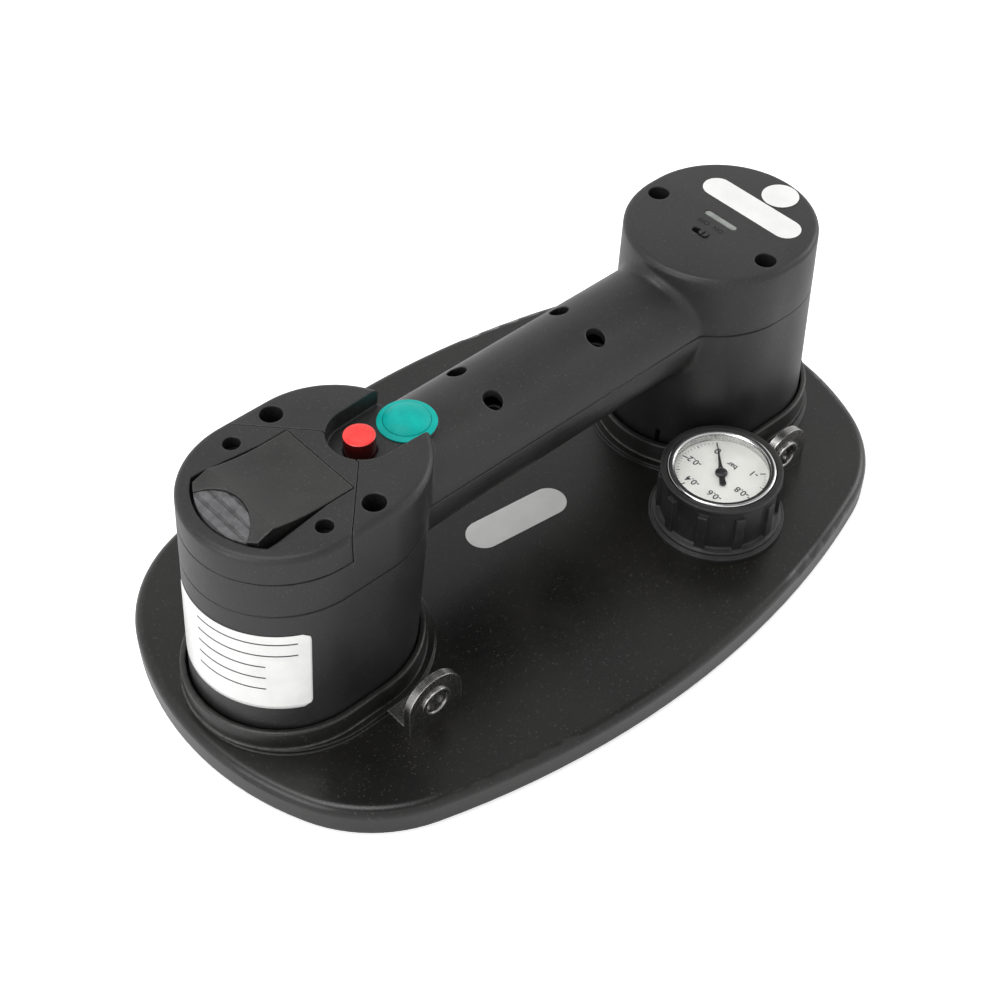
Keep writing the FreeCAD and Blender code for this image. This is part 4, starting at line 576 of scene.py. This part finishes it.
coil_spring("vent_spring", "release_spring", "housing", 0.0005, 5)
inner_rubber = moulded("inner_rubber", (0.012, 0.012, 0.012), (0.02, 0.02, 0.02), (0.05, 0.05, 0.05),
                       (0.55, 0.7), grains=1400.0, depth=0.00005)
for node in ("release_plug", "diaphragm", "motor_mounts"):
    finish_node(node, inner_rubber)

# ---------------------------------------------------------------- lanyard eyes
# Two lugs bent from 3 mm steel strip, nickel-bright, are screwed to the plate beside the towers. A rolled
# eyelet lines each hole so that a snap hook runs smoothly.
nickel = metal("nickel_plate", (0.25, 0.245, 0.235), (0.33, 0.325, 0.315), (0.22, 0.34), (1.0, 1.0, 0.15),
               2200.0, 0.000002, paler_colour=(0.95, 0.95, 0.94), wear=0.0009, scuffs=22.0)
for node in ("eyelet_bracket_left", "eyelet_bracket_right"):
    ease_edges(finish_node(node, nickel), 0.0004, 3)
finish_node("bracket_screws", nickel)
rolled_lip = [(0.0042, -0.0018), (0.00435, -0.00215), (0.0048, -0.0024), (0.0056, -0.0024), (0.0061, -0.0022),
              (0.0062, -0.0019), (0.0061, -0.0015), (0.0050, -0.0015)]
eyelet_section = rolled_lip + [(radius, -height) for radius, height in reversed(rolled_lip)]
EYE_Y = -0.05
EYE_Z = 0.023
for side, across in (("left", -0.084), ("right", 0.0915)):
    eyelet = turned_piece(f"eyelet_{side}", eyelet_section, (across, EYE_Y, EYE_Z), nickel, 64,
                          Matrix.Rotation(math.radians(90), 4, "X"))
    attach(eyelet, "housing")
    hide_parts(f"eyelet_grommet_{side}")

# ---------------------------------------------------------------- vacuum gauge
# A 40 mm gauge in a pressed case, held by a ribbed rubber boot. Rolled bright bezel, flat glass, white dial
# that reads 0 to -1 bar anticlockwise, and a black pointer on its staff.
GAUGE = Vector((0.057, -0.0488, 0.0))
ZERO_TURN = 48.5
boot_rubber = moulded("boot_rubber", (0.0070, 0.0070, 0.0073), (0.0125, 0.0125, 0.0128),
                      (0.05, 0.05, 0.05), (0.40, 0.52), grains=1500.0, depth=0.00006, patch=90.0,
                      wear=0.0012, wear_and_highlight=0.35, dust=0.06, ease=0.0012)
ease_edges(finish_node("gauge_boot", boot_rubber), 0.0006, 3)
case_steel = metal("case_steel", (0.52, 0.52, 0.52), (0.66, 0.66, 0.65), (0.22, 0.34))
finish_node("gauge_case", case_steel)
bezel_steel = metal("bezel_steel", (0.62, 0.62, 0.62), (0.76, 0.76, 0.76), (0.10, 0.18),
                    paler_colour=(0.9, 0.9, 0.9))
bezel = turned_piece("bezel_ring", [
    (0.01740, 0.03705), (0.01750, 0.03728), (0.01785, 0.03735), (0.01805, 0.03752), (0.01815, 0.03778),
    (0.01845, 0.03790), (0.01885, 0.03797), (0.01935, 0.03800), (0.01970, 0.03790), (0.01992, 0.03765),
    (0.02000, 0.03730), (0.02000, 0.03640), (0.01830, 0.03640), (0.01830, 0.03730), (0.01750, 0.03695)],
    GAUGE, bezel_steel, 128)
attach(bezel, "housing")
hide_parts("gauge_bezel")


def clear_glass(name, tint):
    """Flat window glass: clean, with a trace of haze."""
    finish, tree, shader = new_finish(name)
    place = tree.nodes.new("ShaderNodeTexCoord").outputs["Object"]
    haze = noise(tree, place, 400.0, 5.0, 0.7)
    shader.inputs["Base Color"].default_value = (*tint, 1.0)
    shader.inputs["Transmission Weight"].default_value = 1.0
    shader.inputs["IOR"].default_value = 1.45
    tree.links.new(spread(tree, haze, 0.5, 0.8, 0.0, 0.08), shader.inputs["Roughness"])
    return finish


window_glass = clear_glass("gauge_glass_clear", (0.98, 0.99, 0.99))
finish_node("gauge_glass", window_glass).visible_shadow = False


def enamel(name, dark, light, rough=(0.3, 0.42)):
    """Printed or painted sheet: even colour with a faint tooth and age."""
    finish, tree, shader = new_finish(name)
    place = tree.nodes.new("ShaderNodeTexCoord").outputs["Object"]
    age = noise(tree, place, 90.0, 5.0, 0.6)
    tree.links.new(blended(tree, spread(tree, age, 0.35, 0.65), dark, light), shader.inputs["Base Color"])
    tooth = noise(tree, place, 4200.0, 3.0)
    tree.links.new(spread(tree, tooth, 0.3, 0.7, rough[0], rough[1]), shader.inputs["Roughness"])
    relief(tree, shader, tooth, 0.000008)
    return finish


dial_white = enamel("dial_white", (0.59, 0.58, 0.55), (0.66, 0.65, 0.62))
finish_node("gauge_dial", dial_white)
print_black = enamel("print_black", (0.018, 0.018, 0.020), (0.03, 0.03, 0.032))
FACE = 0.0337
INK = 0.00003


def scale_turn(value):
    """The angle on the dial of a reading from 0 to 1 bar below air pressure."""
    return math.radians(ZERO_TURN + 270 * value)


marks = bmesh.new()
outer = 0.0166
for step in range(51):
    angle = scale_turn(step / 50)
    length, half = 0.0009, 0.00009
    if step % 10 == 0:
        length, half = 0.0022, 0.00026
    elif step % 5 == 0:
        length, half = 0.0015, 0.00017
    inner = outer - length
    along = Vector((math.cos(angle), math.sin(angle), 0))
    across = Vector((-along.y, along.x, 0)) * half
    corners = [along * inner - across, along * outer - across]
    corners += [along * outer + across, along * inner + across]
    low = [marks.verts.new(GAUGE + c + Vector((0, 0, FACE - 0.00002))) for c in corners]
    high = [marks.verts.new(GAUGE + c + Vector((0, 0, FACE + INK))) for c in corners]
    marks.faces.new(high)
    for k in range(4):
        marks.faces.new([low[k], low[(k + 1) % 4], high[(k + 1) % 4], high[k]])
dial_marks = new_piece("dial_marks", marks, print_black)
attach(dial_marks, "housing")


def printed_word(name, word, size, weight, place, turn, finish):
    """One printed or engraved word, centred on its place and turned in plan, with its strokes thickened."""
    letters = bpy.data.curves.new(name, "FONT")
    letters.body = word
    letters.size = size
    letters.align_x = "CENTER"
    letters.align_y = "CENTER"
    letters.extrude = 0.00002
    letters.offset = weight
    letters.materials.append(finish)
    text = bpy.data.objects.new(name, letters)
    bpy.context.scene.collection.objects.link(text)
    text.location = place
    text.rotation_euler = (0, 0, math.radians(turn))
    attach(text, "housing")


UP_TURN = ZERO_TURN + 135
readings = [("0", scale_turn(0), 0.0121, 0.0042)]
readings += [(f"-0.{tenths}", scale_turn(tenths / 10), 0.0114, 0.0038) for tenths in (2, 4, 6, 8)]
readings += [("-1", scale_turn(1), 0.0121, 0.0040), ("bar", math.radians(UP_TURN + 180), 0.0064, 0.0032)]
for word, angle, reach, size in readings:
    name = "dial_" + word.replace("-", "m").replace(".", "_")
    place = GAUGE + Vector((reach * math.cos(angle), reach * math.sin(angle), FACE + INK))
    printed_word(name, word, size, 0.00007, place, UP_TURN - 90, print_black)

pointer_black = enamel("pointer_black", (0.012, 0.012, 0.013), (0.02, 0.02, 0.022), (0.25, 0.35))
hand = bmesh.new()
HUB = 0.0023
TAIL = 0.00125
outline = [(0.0150, 0.00010), (0.0040, 0.00062), (0.0019, 0.00105)]
outline += [(HUB * math.cos(turn), HUB * math.sin(turn)) for turn in map(math.radians, range(40, 141, 10))]
outline += [(-0.0024, 0.00105), (-0.0048, 0.00115)]
outline += [(TAIL * math.cos(turn) - 0.0054, TAIL * math.sin(turn)) for turn in
            map(math.radians, range(75, 181, 15))]
outline += [(x, -y) for x, y in reversed(outline) if y > 1e-6]
floor_ring = [hand.verts.new((x, y, 0.0)) for x, y in outline]
roof_ring = [hand.verts.new((x, y, 0.00035)) for x, y in outline]
hand.faces.new(list(reversed(floor_ring)))
hand.faces.new(roof_ring)
for k in range(len(outline)):
    j = (k + 1) % len(outline)
    hand.faces.new([floor_ring[k], floor_ring[j], roof_ring[j], roof_ring[k]])
bmesh.ops.recalc_face_normals(hand, faces=hand.faces)
at_zero = Matrix.Translation(GAUGE + Vector((0, 0, 0.0343))) @ Matrix.Rotation(scale_turn(0), 4, "Z")
bmesh.ops.transform(hand, matrix=at_zero, verts=hand.verts)
pointer = new_piece("pointer_hand", hand, pointer_black)
soft = pointer.modifiers.new("edges", "BEVEL")
soft.width = 0.00008
soft.segments = 2
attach(pointer, "pointer")
hub = turned_piece("pointer_hub", [
    (0.0, 0.0253), (0.0007, 0.0253), (0.0007, 0.0343), (0.0022, 0.0343), (0.0022, 0.03495), (0.0020, 0.03512),
    (0.0009, 0.0352), (0.00085, 0.03508), (0.0, 0.03505)], GAUGE, pointer_black, 48)
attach(hub, "pointer")
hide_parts("gauge_pointer")
brass = metal("brass_turned", (0.56, 0.40, 0.16), (0.72, 0.54, 0.24), (0.2, 0.32))
for node in ("bourdon_tube", "gauge_stem", "release_valve_body", "battery_contacts", "terminal_fingers"):
    finish_node(node, brass)

# ---------------------------------------------------------------- pump tower's lid
# A clear strip lens over the lamps and the finger of a slide switch sit in the pump tower's flat top, with
# ON and OFF engraved between them.
TOWER_TOP = 0.101
lens = gloss("lens_clear", (0.17, 0.185, 0.17), (0.26, 0.275, 0.26), (0.16, 0.3))
finish_node("led_window", lens)
switch_nylon = enamel("switch_nylon", (0.010, 0.010, 0.010), (0.018, 0.018, 0.018))
finish_node("slide_switch_knob", switch_nylon)
engraved_black = enamel("engraved_black", (0.0015, 0.0015, 0.0015), (0.003, 0.003, 0.003), (0.6, 0.8))
for word, across in (("ON", -0.0034), ("OFF", 0.0036)):
    printed_word("switch_" + word.lower(), word, 0.0030, 0.00004, (0.0944, across, TOWER_TOP + INK), 90,
                 engraved_black)

# ---------------------------------------------------------------- labels
# Blank polyester stickers: one on the plate, one and a round one on the pump tower's lid, and a wide one
# wrapped round the battery tower.
FILM = 0.00012
sticker_white = enamel("sticker_white", (0.75, 0.75, 0.74), (0.82, 0.82, 0.81), (0.25, 0.35))


def sticker(name, points, base):
    """A flat sticker: closed outline in plan, laid on the face at height base."""
    work = bmesh.new()
    low = [work.verts.new((x, y, base)) for x, y in points]
    high = [work.verts.new((x, y, base + FILM)) for x, y in points]
    work.faces.new(high)
    work.faces.new(list(reversed(low)))
    for k in range(len(points)):
        j = (k + 1) % len(points)
        work.faces.new([low[k], low[j], high[j], high[k]])
    bmesh.ops.recalc_face_normals(work, faces=work.faces)
    piece = new_piece(name, work, sticker_white)
    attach(piece, "housing")


def rounded_bar(centre_x, centre_y, length, width, along_y=False):
    """Outline of a bar with round ends, lengthwise in x or in y."""
    corner = width / 2
    steps = 12
    points = []
    for end, start in ((1, 0), (-1, 90), (-1, 180), (1, 270)):
        for k in range(steps + 1):
            turn = math.radians(start + 90 * k / steps)
            points.append((end * (length / 2 - corner) + corner * math.cos(turn), corner * math.sin(turn)))
    if along_y:
        points = [(-y, x) for x, y in points]
    return [(centre_x + x, centre_y + y) for x, y in points]


PLATE_TOP = 0.0132
slant = Matrix.Rotation(math.radians(-7.0), 2)
plate_bar = [slant @ Vector(corner) for corner in rounded_bar(0.0, 0.0, 0.0435, 0.0140)]
sticker("plate_sticker", [(x - 0.0008, y - 0.0008) for x, y in plate_bar], PLATE_TOP)
sticker("lid_sticker", rounded_bar(0.1134, -0.0024, 0.0450, 0.0112, True), TOWER_TOP)
sticker("round_sticker", rounded_bar(0.1267, -0.0048, 0.0140, 0.0140), TOWER_TOP + 0.0001)

WALL_FOOT = 0.0148
WALL_RADIUS = 0.0337
WALL_CENTRE = -0.1075


def tower_wall(along, height, out):
    """A point on the battery tower's drafted wall: degrees round its far end, height, distance off it."""
    rise = (height - WALL_FOOT) / (TOWER_TOP - WALL_FOOT)
    centre = WALL_CENTRE + rise * 0.006
    radius = WALL_RADIUS - rise * 0.0002 + out
    turn = math.radians(along)
    return Vector((centre + radius * math.cos(turn), radius * math.sin(turn), height))


def wrapped(name, start, stop, low, high, corner, out, finish, rows=24):
    """A sheet wrapped on the tower wall between two turns and two heights, with rounded corners."""
    columns = 72
    work = bmesh.new()
    grid = []
    for row in range(rows + 1):
        level = low + (high - low) * row / rows
        inset = 0.0
        for edge in (level - low, high - level):
            if edge < corner:
                inset = corner - math.sqrt(max(0.0, corner * corner - (corner - edge) ** 2))
        trim = math.degrees(inset / WALL_RADIUS)
        sweep = stop - start - 2 * trim
        grid.append([work.verts.new(tower_wall(start + trim + sweep * column / columns, level, out))
                     for column in range(columns + 1)])
    for below, above in zip(grid, grid[1:]):
        for column in range(columns):
            work.faces.new([below[column], below[column + 1], above[column + 1], above[column]])
    bmesh.ops.recalc_face_normals(work, faces=work.faces)
    piece = new_piece(name, work, finish, 180)
    film = piece.modifiers.new("film", "SOLIDIFY")
    film.thickness = 0.00008
    film.offset = 1.0
    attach(piece, "housing")


# The wide label is blank but for five ruled lines.
wrapped("tower_label", 152.0, 247.5, 0.0325, 0.0672, 0.0028, FILM, sticker_white)
RULE_HALF = 0.00022
rules = [(240.0, 0.0634), (240.0, 0.0581), (222.0, 0.0528), (222.0, 0.0475), (222.0, 0.0422)]
for number, (stop, level) in enumerate(rules, 1):
    wrapped(f"label_rule_{number}", 178.0, stop, level - RULE_HALF, level + RULE_HALF, 0.0, FILM + 0.0001,
            print_black, rows=1)

# ---------------------------------------------------------------- battery pack
# The pack lifts out with its lid: a grey nylon case round four wrapped cells, with sprung brass contacts
# that meet the terminal block on the tower's floor.
ease_edges(finish_node("battery_case", inner_nylon), 0.0003)
cell_wrap = gloss("cell_wrap", (0.02, 0.10, 0.26), (0.03, 0.14, 0.34), (0.25, 0.4))
finish_node("battery_cells", cell_wrap)
finish_node("terminal_block", inner_nylon)

# ---------------------------------------------------------------- pump and wiring
# Inside the pump tower a small motor turns a cam that works a rubber diaphragm; silicone tubes join pump,
# vent valve and plate. The circuit board lies in the grip.
motor_steel = metal("motor_steel", (0.42, 0.42, 0.42), (0.55, 0.55, 0.55), (0.28, 0.4))
cast = metal("cast_alloy", (0.38, 0.38, 0.38), (0.48, 0.48, 0.48), (0.4, 0.55), lines=900.0, depth=0.00003)
finish_node("pump_motor", motor_steel)
finish_node("pump_crankcase", cast)
finish_node("pump_eccentric", spring_wire)
finish_node("pump_bracket", case_steel)
for node in ("connecting_rod", "pump_head", "slide_switch_body"):
    finish_node(node, inner_nylon)
tube = silicone("tube_silicone", (0.55, 0.54, 0.48), (0.64, 0.63, 0.57))
for node in ("release_hose", "suction_hose"):
    finish_node(node, tube)
board = enamel("board_green", (0.010, 0.10, 0.035), (0.015, 0.14, 0.05))
for node in ("control_board", "led_emitter"):
    finish_node(node, board)
finish_node("power_switch", enamel("switch_white", (0.6, 0.6, 0.58), (0.7, 0.7, 0.68)))

# ---------------------------------------------------------------- setting
# A plain pale floor, a sky that is bright round the horizon and dim overhead, and three soft boxes.
# Floor and sky are seen as white.
floor_mesh = bpy.data.meshes.new("studio_floor")
corners = [(-3, -3, -0.0002), (3, -3, -0.0002), (3, 3, -0.0002), (-3, 3, -0.0002)]
floor_mesh.from_pydata(corners, [], [(0, 1, 2, 3)])
studio_floor = bpy.data.objects.new("studio_floor", floor_mesh)
bpy.context.scene.collection.objects.link(studio_floor)
floor_paint, tree, shader = new_finish("floor_paint")
shader.inputs["Base Color"].default_value = (0.86, 0.86, 0.86, 1.0)
shader.inputs["Roughness"].default_value = 0.9
shader.inputs["Emission Color"].default_value = (1.0, 1.0, 1.0, 1.0)
rays = tree.nodes.new("ShaderNodeLightPath")
tree.links.new(maths(tree, "MULTIPLY_ADD", rays.outputs["Is Camera Ray"], 0.48, 0.10),
               shader.inputs["Emission Strength"])
floor_mesh.materials.append(floor_paint)

world = bpy.data.worlds.new("studio_world")
bpy.context.scene.world = world
world.use_nodes = True
tree = world.node_tree
tree.nodes.clear()
sky = tree.nodes.new("ShaderNodeBackground")
sky_out = tree.nodes.new("ShaderNodeOutputWorld")
sky.inputs["Color"].default_value = (1.0, 1.0, 1.0, 1.0)
rays = tree.nodes.new("ShaderNodeLightPath")
seen = maths(tree, "MAXIMUM", rays.outputs["Is Camera Ray"], rays.outputs["Is Transmission Ray"])
aim = tree.nodes.new("ShaderNodeSeparateXYZ")
tree.links.new(tree.nodes.new("ShaderNodeTexCoord").outputs["Generated"], aim.inputs[0])
overhead = spread(tree, aim.outputs["Z"], 0.67, 0.87, 0.92, 0.31)
tree.links.new(maths(tree, "MAXIMUM", seen, overhead), sky.inputs["Strength"])
tree.links.new(sky.outputs["Background"], sky_out.inputs["Surface"])


def soft_light(name, place, aim, size, power):
    """A square soft box facing a point on the object."""
    lamp = bpy.data.lights.new(name, "AREA")
    lamp.shape = "SQUARE"
    lamp.size = size
    lamp.energy = power
    box = bpy.data.objects.new(name, lamp)
    bpy.context.scene.collection.objects.link(box)
    box.location = place
    box.rotation_euler = (Vector(aim) - Vector(place)).to_track_quat("-Z", "Y").to_euler()


soft_light("top_box", (-0.35, 0.15, 1.35), (0, 0, 0.05), 0.8, 8.0)
soft_light("left_box", (-1.2, -0.05, 0.6), (0, 0, 0.05), 0.7, 4.5)
soft_light("right_box", (1.2, -0.3, 0.6), (0, 0, 0.05), 0.6, 3.5)

camera_data = bpy.data.cameras.new("camera")
camera_data.lens = 62.799
camera_data.sensor_width = 36.0
camera_data.clip_start = 0.01
camera_data.clip_end = 20.0
camera = bpy.data.objects.new("camera", camera_data)
bpy.context.scene.collection.objects.link(camera)
camera.location = (-0.30833, -0.32555, 0.49188)
camera.rotation_mode = "QUATERNION"
camera.rotation_quaternion = Quaternion((0.867097, 0.34528, -0.137395, -0.331735))
bpy.context.scene.camera = camera
bpy.context.scene.view_settings.view_transform = "Standard"
